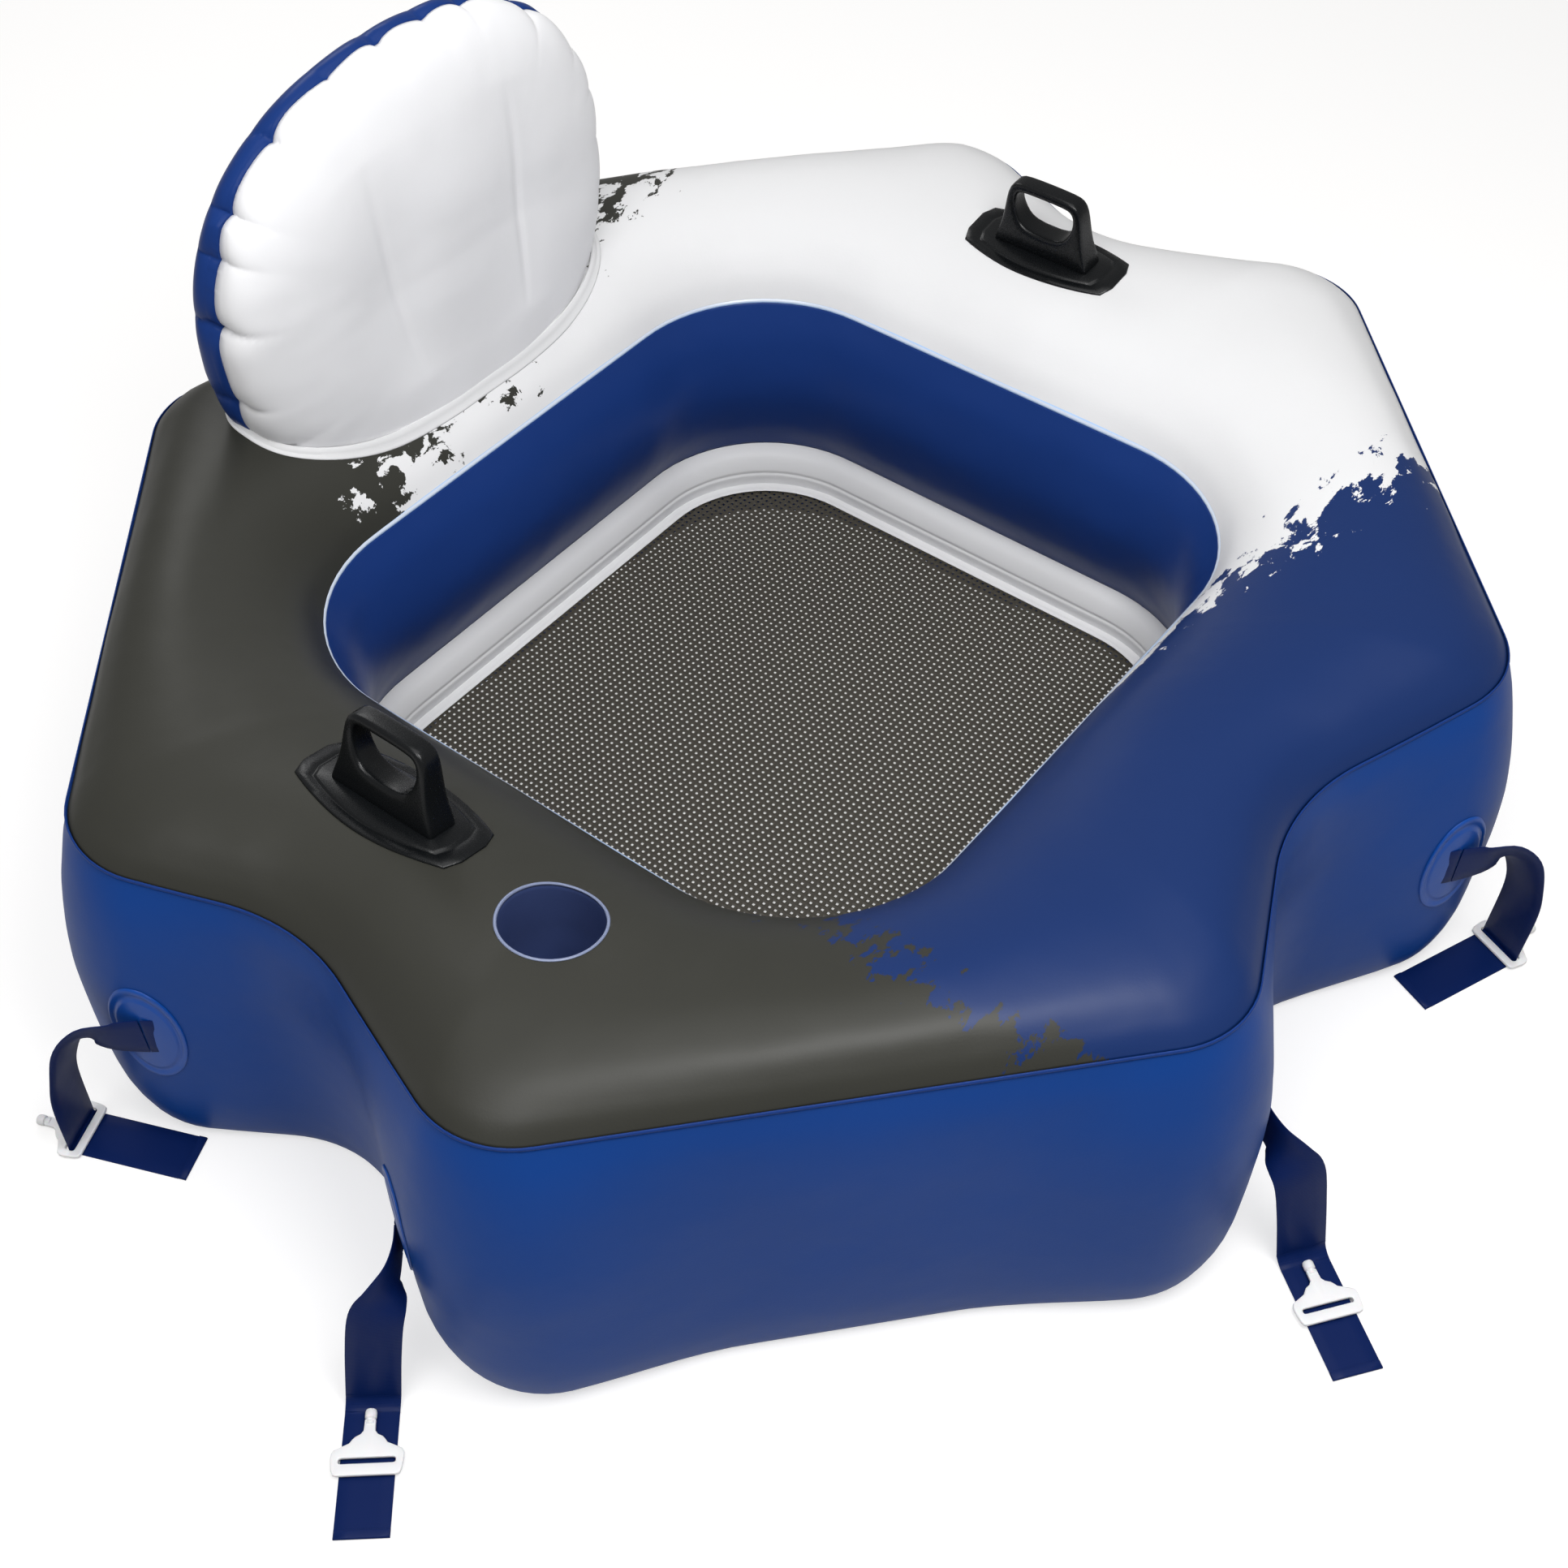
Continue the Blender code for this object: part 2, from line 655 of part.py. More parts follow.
def build_seat():
    """Mesh floor and the hem that holds it to the seat ring."""
    white = material("white_vinyl", WHITE, 0.38)
    outer_edge = offset_opening(RING_IN + SEAM_STEP)
    inner_edge = offset_opening(HEM_INNER_IN)
    low = HEM_Z - HEM_THICKNESS
    section = ((outer_edge, low), (outer_edge, HEM_Z), (inner_edge, HEM_Z), (inner_edge, low))
    bm = loft([[raised(point, height) for point in edge] for edge, height in section], closed=True)
    bmesh.ops.recalc_face_normals(bm, faces=bm.faces)
    add_object("mesh_hem", bm, white)
    mesh_top = low - FIT_GAP
    mesh_low = mesh_top - MESH_THICKNESS
    floor = prism(offset_opening(MESH_EDGE_IN), mesh_low, mesh_top)
    mesh = add_object("mesh_floor", floor, material("mesh_fabric", MESH_GREY, 0.70))
    boolean(mesh, mesh_gap_cutter(mesh_low - OVERRUN, mesh_top + OVERRUN), "DIFFERENCE")


def mesh_gap_cutter(low, high):
    """One block for each open gap of the seat mesh that fits inside its border."""
    half_x = OPENING_HALF_X - HEM_INNER_IN - MESH_BORDER
    half_y = OPENING_HALF_Y - HEM_INNER_IN - MESH_BORDER
    radius = OPENING_RADIUS - HEM_INNER_IN - MESH_BORDER
    pitch_x = 2.0 * half_x / MESH_GAPS_X
    pitch_y = 2.0 * half_y / MESH_GAPS_Y
    size = Vector((pitch_x - MESH_BAR, pitch_y - MESH_BAR, high - low))
    bm = bmesh.new()
    for column in range(MESH_GAPS_X):
        for row in range(MESH_GAPS_Y):
            centre = Vector((pitch_x * (column + 0.5) - half_x, pitch_y * (row + 0.5) - half_y))
            far_x = abs(centre.x) + size.x / 2.0 - (half_x - radius)
            far_y = abs(centre.y) + size.y / 2.0 - (half_y - radius)
            if min(far_x, far_y) > 0.0 and math.hypot(far_x, far_y) > radius:
                continue
            place = Matrix.Translation(raised(centre, (low + high) / 2.0))
            bmesh.ops.create_cube(bm, size=1.0, matrix=place @ Matrix.Diagonal((*size, 1.0)))
    return add_cutter("mesh_gap_cutter", bm)


# Turned pieces


def turned(profile, sides):
    """Solid turned about +Z from a profile of radius and height that starts and ends on the axis."""
    bm = bmesh.new()
    middle = Vector((0.0, 0.0))
    rings = []
    for radius, height in profile:
        ring = circle_outline(middle, radius, sides) if radius else [middle]
        rings.append([bm.verts.new(raised(point, height)) for point in ring])
    for lower, upper in zip(rings, rings[1:]):
        for step in range(sides):
            following = (step + 1) % sides
            if len(lower) == 1:
                bm.faces.new((lower[0], upper[following], upper[step]))
            elif len(upper) == 1:
                bm.faces.new((lower[step], lower[following], upper[0]))
            else:
                bm.faces.new((lower[step], lower[following], upper[following], upper[step]))
    bmesh.ops.recalc_face_normals(bm, faces=bm.faces)
    return bm


def tube_of(profile, sides):
    """Ring-shaped solid turned about +Z from a closed profile of radius and height."""
    middle = Vector((0.0, 0.0))
    rings = [[raised(point, height) for point in circle_outline(middle, radius, sides)]
             for radius, height in profile]
    bm = loft(rings, closed=True)
    bmesh.ops.recalc_face_normals(bm, faces=bm.faces)
    return bm


def facing_matrix(place, direction):
    """Matrix that puts +Z along direction with the origin at place."""
    turn = direction.to_track_quat("Z", "Y").to_matrix().to_4x4()
    return Matrix.Translation(place) @ turn


# Cup recess


def build_cup(surface_cutter):
    """Cup sleeve let into the top sheet and the welded rim round its mouth."""
    navy = material("navy_vinyl", NAVY, 0.34)
    mouth, _ = surface_point(CUP_CENTRE)
    outer = CUP_RADIUS + CUP_WALL
    high = mouth.z + OVERRUN
    low = mouth.z - CUP_DEPTH
    profile = ((0.0, low), (outer, low), (outer, high), (CUP_RADIUS, high), (CUP_RADIUS, low + CUP_WALL),
               (0.0, low + CUP_WALL))
    bm = turned(profile, CUP_SIDES)
    bmesh.ops.translate(bm, verts=bm.verts, vec=raised(CUP_CENTRE, 0.0))
    sleeve = add_object("cup_sleeve", bm, navy)
    boolean(sleeve, surface_cutter, "DIFFERENCE")
    smooth(sleeve)
    rim = pad_on_top("cup_rim", CUP_RIM_HEIGHT, material("pale_weld", PALE_CLEAR, 0.3))
    edge = circle_outline(CUP_CENTRE, CUP_RADIUS + CUP_RIM_WIDTH, CUP_SIDES)
    boolean(rim, add_cutter("cup_rim_outer_cutter", prism(edge, PRISM_LOW, PRISM_HIGH)), "INTERSECT")
    mouth_edge = circle_outline(CUP_CENTRE, CUP_RADIUS, CUP_SIDES)
    boolean(rim, add_cutter("cup_rim_inner_cutter", prism(mouth_edge, PRISM_LOW, PRISM_HIGH)), "DIFFERENCE")


# Carry handles


def handle_middle(side):
    """Middle of one handle in plan."""
    return Vector((side * HANDLE_X + HANDLE_SHIFT_X, HANDLE_Y))


def pad_outline(side):
    """Lens with clipped ends round one handle, in plan."""
    middle = handle_middle(side)
    right = []
    for step in range(PAD_STEPS + 1):
        share = 2.0 * step / PAD_STEPS - 1.0
        half = mix(PAD_HALF_WIDTH, PAD_END_HALF_WIDTH, share * share)
        right.append(middle + Vector((half, PAD_HALF_LENGTH * share)))
    left = [Vector((2.0 * middle.x - point.x, point.y)) for point in reversed(right)]
    return right + left


def grip_mesh():
    """D-shaped grip that stands on the plane z = 0, its bar along Y."""
    opening_low = GRIP_SADDLE
    opening_high = GRIP_HEIGHT - GRIP_BAR
    opening_half = GRIP_TOP_HALF - GRIP_POST
    outer = [(GRIP_BASE_HALF * y, GRIP_HEIGHT * z) for y, z in GRIP_OUTER_SHARES]
    inner = [(opening_half * y, mix(opening_low, opening_high, z)) for y, z in GRIP_INNER_SHARES]
    bm = bmesh.new()
    sheets = []
    for side in (1.0, -1.0):
        loops = []
        for outline in (outer, inner):
            loop = []
            for y, z in outline:
                thickness = mix(GRIP_BASE_THICKNESS, GRIP_TOP_THICKNESS, max(0.0, z) / GRIP_HEIGHT)
                loop.append(bm.verts.new((side * thickness / 2.0, y, z)))
            loops.append(loop)
        sheets.append(loops)
    count = len(outer)
    (front_outer, front_inner), (back_outer, back_inner) = sheets
    for index in range(count):
        following = (index + 1) % count
        for first, second in ((front_outer, front_inner), (front_inner, back_inner),
                              (back_inner, back_outer), (back_outer, front_outer)):
            bm.faces.new((first[index], first[following], second[following], second[index]))
    bmesh.ops.recalc_face_normals(bm, faces=bm.faces)
    rims = []
    for loop in (front_outer, front_inner, back_outer, back_inner):
        for index in range(count):
            rims.append(bm.edges.get((loop[index], loop[(index + 1) % count])))
    bmesh.ops.bevel(bm, geom=rims, offset=GRIP_EDGE, offset_type="OFFSET", segments=1, profile=0.5,
                    affect="EDGES", material=-1)
    return bm


def build_handles():
    """Welded pad and moulded grip of each carry handle."""
    black = material("black_vinyl", BLACK, 0.42)
    foot_cutter = top_region("grip_foot_cutter", FIT_GAP + WELD_PAD + FIT_GAP, PRISM_LOW)
    for label, side in (("right", -1.0), ("left", 1.0)):
        pad = pad_on_top("handle_pad_" + label, WELD_PAD, black)
        outline = prism(pad_outline(side), PRISM_LOW, PRISM_HIGH)
        boolean(pad, add_cutter("handle_pad_cutter_" + label, outline), "INTERSECT")
        place, normal = surface_point(handle_middle(side))
        lean = math.atan2(normal.x, normal.z)
        standing = place + normal * (FIT_GAP + WELD_PAD)
        bm = grip_mesh()
        turn = Matrix.Translation(standing) @ Matrix.Rotation(lean, 4, "Y")
        bmesh.ops.transform(bm, matrix=turn, verts=bm.verts)
        grip = add_object("handle_grip_" + label, bm, black)
        boolean(grip, foot_cutter, "DIFFERENCE")
        smooth(grip)


# Backrest


def swell_share(share):
    """Swell from side to side, full in the middle and nothing at the seam."""
    return max(0.0, 1.0 - abs(share) ** BACK_ROUNDNESS) ** (1.0 / BACK_ROUNDNESS)


def seam_point(angle):
    """Point x, z of the backrest's edge seam at an angle from +X, anticlockwise."""
    power = 2.0 / SEAM_ROUNDNESS
    rise = BACK_TOP_Z - BACK_WIDEST_Z
    height = rise if math.sin(angle) > 0.0 else -BACK_FOOT_RADIUS
    height *= abs(math.sin(angle)) ** power
    return Vector((BACK_HALF_WIDTH * math.cos(angle) ** power, BACK_WIDEST_Z + height))


FOOT_SINE = ((BACK_WIDEST_Z - BACK_FOOT_Z) / BACK_FOOT_RADIUS) ** (SEAM_ROUNDNESS / 2.0)
FOOT_ANGLE = -math.asin(FOOT_SINE)


def arch_point(across):
    """Point x, z of the seam's arch between the two shoulders."""
    right = seam_point(mix(math.pi / 2.0, BACK_SHOULDER_ANGLE, abs(across)))
    return Vector((math.copysign(right.x, across), right.y))


def back_plane_point(across, up):
    """Point x, z of the backrest's face: across from -1 to 1, up from the foot to the arch."""
    right = seam_point(mix(FOOT_ANGLE, BACK_SHOULDER_ANGLE, up))
    left = Vector((-right.x, right.y))
    foot_corner = seam_point(FOOT_ANGLE)
    shoulder = seam_point(BACK_SHOULDER_ANGLE)
    foot = Vector((foot_corner.x * across, foot_corner.y))
    shoulder_line = Vector((shoulder.x * across, shoulder.y))
    sides = mix(left, right, (across + 1.0) / 2.0)
    return sides + mix(foot, arch_point(across), up) - mix(foot, shoulder_line, up)


def channel_share(across, up):
    """How deep a tension channel is at a place of the face, from 0 to 1."""
    if abs(abs(across) - CHANNEL_SHARE) > VINYL or not CHANNEL_LOW_SHARE <= up <= CHANNEL_HIGH_SHARE:
        return 0.0
    along = (up - CHANNEL_LOW_SHARE) / (CHANNEL_HIGH_SHARE - CHANNEL_LOW_SHARE)
    return math.sin(math.pi * mix(CHANNEL_END_SHARE, 1.0 - CHANNEL_END_SHARE, along))


def band_swell(across, up):
    """How far the back skin bulges sideways past the seam at a place near its edge."""
    share = min(1.0 - abs(across), 1.0 - up) / BAND_REACH_SHARE
    return BAND_SWELL * math.sin(math.pi * min(1.0, share) ** 0.5) * min(1.0, 0.4 + up)


def back_skin_point(across, up, facing):
    """Point of the backrest's skin; facing is -1 for the front and 1 for the back."""
    flat = back_plane_point(across, up)
    base_depth = BASE_FRONT_DEPTH if facing < 0.0 else BASE_REAR_DEPTH
    mid_depth = BACK_FRONT_DEPTH if facing < 0.0 else BACK_REAR_DEPTH
    depth = mix(base_depth, mid_depth, min(1.0, up * 2.0))
    depth *= swell_share(across) * max(0.0, 1.0 - up ** 3) ** 0.6
    depth = max(depth - CHANNEL_DEPTH * channel_share(across, up), SEAM_HALF_GAP)
    if facing > 0.0:
        flat += (flat - Vector((0.0, BACK_WIDEST_Z))).normalized() * band_swell(across, up)
    middle = BACK_MID_Y + (flat.y - BACK_FOOT_Z) * math.tan(BACK_LEAN)
    return Vector((flat.x, middle + facing * depth, flat.y))


def back_columns():
    """Column places from side to side."""
    return [-share for share in reversed(COLUMN_SHARES[1:])] + list(COLUMN_SHARES)


def back_skin(facing):
    """Skin of one face of the backrest as a grid, with its edge puckered."""
    columns = back_columns()
    bm = bmesh.new()
    grid = [[bm.verts.new(back_skin_point(across, up, facing)) for across in columns] for up in ROW_SHARES]
    for lower, upper in zip(grid, grid[1:]):
        for index in range(len(columns) - 1):
            corners = (lower[index], lower[index + 1], upper[index + 1], upper[index])
            bm.faces.new(corners if facing < 0.0 else corners[::-1])
    edge = [row[1] for row in grid[1:-1]] + grid[-2][2:-2] + [row[-2] for row in reversed(grid[1:-1])]
    for index, vert in enumerate(edge):
        vert.co.y -= facing * PUCKER * (index % 2)
    bm.normal_update()
    return bm


def footprint(grow):
    """Plan outline of the backrest's base at the lip's height, larger by grow."""
    columns = back_columns()
    points = [back_skin_point(across, LIP_HEIGHT_SHARE, -1.0) for across in columns]
    points += [back_skin_point(across, LIP_HEIGHT_SHARE, 1.0) for across in columns[-2:0:-1]]
    outline = []
    for index, point in enumerate(points):
        run = points[(index + 1) % len(points)] - points[index - 1]
        outward = Vector((run.y, -run.x)).normalized()
        outline.append(Vector((point.x, point.y)) + outward * grow)
    return outline


def build_backrest():
    """Front and back skins, the ribs between them and the welded lip they stand on."""
    white = material("white_vinyl", WHITE, 0.38)
    navy = material("navy_vinyl", NAVY, 0.34)
    clearance = FIT_GAP + LIP_THICKNESS + FIT_GAP
    foot_cutter = top_region("backrest_foot_cutter", clearance, PRISM_LOW)
    hinge = recline_axis()
    front = skin("backrest_front", back_skin(-1.0), VINYL, white, hinge)
    back = skin("backrest_back", back_skin(1.0), VINYL, navy, hinge)
    boolean(front, foot_cutter, "DIFFERENCE")
    boolean(back, foot_cutter, "DIFFERENCE")
    boolean(back, valve_cutter("backrest_valve_cutter", *back_valve_place()), "DIFFERENCE")
    for label, side in (("right", -1.0), ("left", 1.0)):
        add_object("backrest_rib_" + label, rib_mesh(side * CHANNEL_SHARE), white, hinge)
    lip = pad_on_top("backrest_lip", LIP_THICKNESS, white)
    outer = prism(footprint(LIP_WIDTH), PRISM_LOW, PRISM_HIGH)
    inner = prism(footprint(-LIP_INSIDE), PRISM_LOW, PRISM_HIGH)
    boolean(lip, add_cutter("lip_outer_cutter", outer), "INTERSECT")
    boolean(lip, add_cutter("lip_inner_cutter", inner), "DIFFERENCE")


def rib_mesh(across):
    """Thin strip that ties the front and back skins together along one channel."""
    rows = [up for up in ROW_SHARES if CHANNEL_LOW_SHARE <= up <= CHANNEL_HIGH_SHARE]
    inset = VINYL + FIT_GAP
    side = math.copysign(1.0, across)
    bm = bmesh.new()
    loops = []
    for shift in (-RIB_THICKNESS / 2.0, RIB_THICKNESS / 2.0):
        loop = []
        for facing, order in ((-1.0, rows), (1.0, rows[::-1])):
            for up in order:
                point = back_skin_point(across, up, facing)
                slope = back_skin_slope(across, up, facing)
                point -= slope * inset
                loop.append(bm.verts.new(point + Vector((side * shift, 0.0, 0.0))))
        loops.append(loop)
    first, second = loops
    count = len(first)
    bm.faces.new(first)
    bm.faces.new(second[::-1])
    for index in range(count):
        following = (index + 1) % count
        bm.faces.new((first[index], first[following], second[following], second[index]))
    bmesh.ops.recalc_face_normals(bm, faces=bm.faces)
    return bm


def back_skin_slope(across, up, facing):
    """Outward direction of a channel's skin in the plane of its rib."""
    low = back_skin_point(across, max(0.0, up - SLOPE_REACH_SHARE), facing)
    high = back_skin_point(across, min(1.0, up + SLOPE_REACH_SHARE), facing)
    run = high - low
    normal = Vector((0.0, run.z, -run.y)) * facing
    return normal.normalized()


def recline_axis():
    """Middle of the line about which the backrest leans back, at the rear of its base."""
    rear = BACK_MID_Y + BASE_REAR_DEPTH
    place, _ = surface_point(Vector((0.0, rear)))
    return raised(place.xy, place.z + FIT_GAP + LIP_THICKNESS + FIT_GAP)


# Straps, their patches and buckles


def wall_frame(waist, corner, distance):
    """Middle, local normal, outward and cornerward directions of a patch at a distance from a corner."""
    along = (corner - waist).normalized()
    outward = Vector((along.y, -along.x))
    if outward.dot(waist) < 0.0:
        outward = -outward
    outward = raised(outward, 0.0)
    place, normal = wall_point(corner - along * distance, PATCH_Z, outward)
    return place, normal, outward, raised(along, 0.0)


def strap_places():
    """Name, hanging style, patch middle, outward and cornerward directions of each strap."""
    side = Vector((SIDE_WAIST_X, SIDE_WAIST_Y))
    side_front = Vector((SIDE_CORNER_FRONT_X, SIDE_CORNER_FRONT_Y))
    side_back = Vector((SIDE_CORNER_BACK_X, SIDE_CORNER_BACK_Y))
    front = Vector((0.0, FRONT_WAIST_Y))
    front_corner = Vector((FRONT_CORNER_X, FRONT_CORNER_Y))
    back = Vector((0.0, BACK_WAIST_Y))
    back_corner = Vector((BACK_CORNER_X, BACK_CORNER_Y))

    def mirrored(point):
        return Vector((-point.x, point.y))

    ends = (
        ("right_back", "bow", mirrored(side), mirrored(side_back)),
        ("right_front", "hang", mirrored(side), mirrored(side_front)),
        ("front_right", "hang", front, mirrored(front_corner)),
        ("front_left", "bow", front, front_corner),
        ("left_front", "hang", side, side_front),
        ("left_back", "bow", side, side_back),
        ("back_left", "hang", back, back_corner),
        ("back_right", "bow", back, mirrored(back_corner)),
    )
    places = []
    for name, style, waist, corner in ends:
        distance = HANG_PATCH_DISTANCE if style == "hang" else BOW_PATCH_DISTANCE
        places.append((name, style, *wall_frame(waist, corner, distance)))
    return places


def strap_plan(style, outward, along):
    """Rows, reach, run and root height of a strap, with its floor run's way, length and height."""
    if style == "bow":
        floor_run = (-along, BOW_TAIL, FIT_GAP + STRAP_THICKNESS / 2.0)
        return (BOW_ROW_SHARES, BOW_REACH, BOW_ALONG, BOW_ROOT_Z), floor_run
    tail_run = outward * math.cos(HANG_TAIL_ANGLE) + along * math.sin(HANG_TAIL_ANGLE)
    floor_z = KEEPER_BAR + FIT_GAP + STRAP_THICKNESS / 2.0
    return (HANG_ROW_SHARES, HANG_REACH, HANG_ALONG, HANG_ROOT_Z), (tail_run, HANG_TAIL, floor_z)


def strap_line(style, place, normal, outward, along):
    """Stations of a strap: middle point, width direction and thickness, from its root to its end."""
    up = Vector((0.0, 0.0, 1.0))
    (rows, reach, run, root_z), (tail_run, tail, floor_z) = strap_plan(style, outward, along)
    last_width = up.cross(tail_run)
    last_width *= math.copysign(1.0, last_width.dot(outward + along))
    root = place + normal * (FIT_GAP + PATCH_THICKNESS + FIT_GAP + STRAP_THICKNESS / 2.0)
    stations = []
    for out_share, along_share, height_share, turn_share in rows:
        point = root + outward * reach * out_share + along * run * along_share
        point.z = root_z * height_share
        angle = turn_share * math.pi / 2.0
        width = (up * math.cos(angle) + last_width * math.sin(angle)).normalized()
        stations.append((point, width, STRAP_THICKNESS))
    stations.extend(floor_bend(stations, tail_run, last_width, floor_z))
    bend_end = stations[-1][0]
    hem_start = tail - HEM_LENGTH
    for distance, thickness in ((tail / 2.0, STRAP_THICKNESS), (hem_start, STRAP_THICKNESS),
                                (hem_start + HEM_STEP, STRAP_HEM_THICKNESS), (tail, STRAP_HEM_THICKNESS)):
        point = bend_end + tail_run * distance
        point.z = max(floor_z, thickness / 2.0)
        stations.append((point, last_width, thickness))
    return stations


def floor_bend(stations, tail_run, width, floor_z):
    """Stations of the round bend from the last straight stretch to the floor."""
    start = stations[-1][0]
    fall = (start - stations[-2][0]).normalized()
    turning = fall.angle(tail_run)
    radius = BUCKLE_SLOT_HEIGHT / 2.0
    lead = radius * math.tan(turning / 2.0)
    meet = start + fall * ((start.z - floor_z) / abs(fall.z))
    first = meet - fall * lead
    bend = [(first, width, STRAP_THICKNESS)]
    centre_way = (tail_run - fall).normalized()
    centre = meet + centre_way * (radius / math.cos(turning / 2.0))
    arm = first - centre
    axis = fall.cross(tail_run).normalized()
    for step in range(1, BEND_STEPS + 1):
        turn = Matrix.Rotation(turning * step / BEND_STEPS, 3, axis)
        bend.append((centre + turn @ arm, width, STRAP_THICKNESS))
    return bend


def ribbon(stations):
    """Flat band through stations of middle point, width direction and thickness."""
    bm = bmesh.new()
    sections = []
    for index, (point, width, thickness) in enumerate(stations):
        before = stations[max(0, index - 1)][0]
        after = stations[min(len(stations) - 1, index + 1)][0]
        travel = (after - before).normalized()
        across = (width - travel * width.dot(travel)).normalized()
        face = travel.cross(across) * thickness / 2.0
        half = across * STRAP_WIDTH / 2.0
        corners = (half + face, face - half, -half - face, half - face)
        sections.append([bm.verts.new(point + corner) for corner in corners])
    for first, second in zip(sections, sections[1:]):
        for index in range(4):
            band_side(bm, index, first, second)
    bm.faces.new(sections[0])
    bm.faces.new(sections[-1][::-1])
    bmesh.ops.recalc_face_normals(bm, faces=bm.faces)
    return bm


def band_side(bm, index, first, second):
    """Two triangles of one side, split so that a twisted band keeps its thickness."""
    start, end = first[index], first[(index + 1) % 4]
    far_start, far_end = second[index], second[(index + 1) % 4]
    if index < 2:
        bm.faces.new((start, end, far_end))
        bm.faces.new((start, far_end, far_start))
    else:
        bm.faces.new((start, end, far_start))
        bm.faces.new((end, far_end, far_start))


def build_patch(name, place, normal, outward, along):
    """Oval patch of vinyl welded to the wall."""
    up = Vector((0.0, 0.0, 1.0))
    bm = wall_face(FIT_GAP + PATCH_THICKNESS)
    patch = skin("strap_patch_" + name, bm, PATCH_THICKNESS, material("royal_blue_vinyl", ROYAL_BLUE, 0.32))
    outline = bmesh.new()
    bmesh.ops.create_cone(outline, cap_ends=True, segments=PATCH_SIDES, radius1=1.0, radius2=1.0, depth=1.0)
    size = Matrix.Diagonal((PATCH_HALF_WIDTH, PATCH_HALF_HEIGHT, PATCH_HALF_WIDTH, 1.0))
    turn = Matrix((along, up, outward)).transposed().to_4x4()
    bmesh.ops.transform(outline, matrix=Matrix.Translation(place) @ turn @ size, verts=outline.verts)
    boolean(patch, add_cutter("strap_patch_cutter_" + name, outline), "INTERSECT")


def buckle_outline():
    """Plan of the buckle round its slot at the origin, its neck towards +Y."""
    length = BUCKLE_DEPTH + NECK_LENGTH
    far = -BUCKLE_DEPTH / 2.0
    half = [Vector((BUCKLE_HALF_WIDTH * x, far + length * y)) for x, y in BUCKLE_OUTLINE_SHARES]
    return half + [Vector((-point.x, point.y)) for point in reversed(half)]


def block(size, low, place):
    """Upright block of a plan size and height that stands at a level, put in place."""
    bm = bmesh.new()
    middle = Matrix.Translation((0.0, 0.0, low + size[2] / 2.0))
    bmesh.ops.create_cube(bm, size=1.0, matrix=place @ middle @ Matrix.Diagonal((*size, 1.0)))
    return bm


def build_straps():
    """Patch, strap and buckle at each end of the concave walls."""
    webbing = material("navy_webbing", DARK_WEBBING, 0.45)
    for name, style, *frame in strap_places():
        build_patch(name, *frame)
        stations = strap_line(style, *frame)
        add_object("strap_" + name, ribbon(stations), webbing, stations[0][0])
        build_buckle(name, style, stations, frame[-1])


def buckle_level(style):
    """Height of the middle of a buckle's plate."""
    if style == "bow":
        return BOW_BUCKLE_LIFT + BUCKLE_THICKNESS / 2.0
    return KEEPER_BAR + FIT_GAP + STRAP_THICKNESS + FIT_GAP + KNOB_RADIUS


def buckle_seat(style, stations, along):
    """Plan place of a buckle's slot on its strap, and the direction of its knob."""
    last_row = len(BOW_ROW_SHARES if style == "bow" else HANG_ROW_SHARES) - 1
    if style == "bow":
        upper, lower = stations[last_row - 1][0], stations[last_row][0]
        fall = (lower - upper).normalized()
        centre = lower + fall * ((buckle_level(style) - lower.z) / fall.z)
        return raised(centre.xy, 0.0), along
    bend_end = stations[last_row + 1 + BEND_STEPS][0]
    tail_run = (stations[-1][0] - stations[-2][0]).normalized()
    return raised((bend_end + tail_run * HANG_BUCKLE_RUN).xy, 0.0), -tail_run


def build_buckle(name, style, stations, along):
    """Slotted buckle that its strap runs through, with a knob to push into its partner."""
    place, knob_way = buckle_seat(style, stations, along)
    up = Vector((0.0, 0.0, 1.0))
    standing = Matrix.Translation(place) @ Matrix((knob_way.cross(up), knob_way, up)).transposed().to_4x4()
    middle_z = buckle_level(style)
    plate = prism(buckle_outline(), middle_z - BUCKLE_THICKNESS / 2.0, middle_z + BUCKLE_THICKNESS / 2.0)
    bmesh.ops.transform(plate, matrix=standing, verts=plate.verts)
    buckle = add_object("buckle_" + name, plate, material("white_plastic", WHITE, 0.35), place)
    slot_size = (BUCKLE_SLOT_LENGTH, BUCKLE_SLIT_HEIGHT if style == "hang" else BUCKLE_SLOT_HEIGHT, OVERRUN)
    slot = block(slot_size, middle_z - OVERRUN / 2.0, standing)
    boolean(buckle, add_cutter("buckle_slot_cutter_" + name, slot), "DIFFERENCE")
    knob = turned([(KNOB_RADIUS * x, KNOB_LENGTH * y) for x, y in KNOB_PROFILE_SHARES], KNOB_SIDES)
    neck_end = BUCKLE_DEPTH / 2.0 + NECK_LENGTH - KNOB_LENGTH * KNOB_SUNK_SHARE
    knob_place = raised((place + knob_way * neck_end).xy, middle_z)
    bmesh.ops.transform(knob, matrix=facing_matrix(knob_place, knob_way), verts=knob.verts)
    boolean(buckle, add_cutter("buckle_knob_shape_" + name, knob), "UNION")
    if style == "hang":
        add_keeper(buckle, name, standing, middle_z)


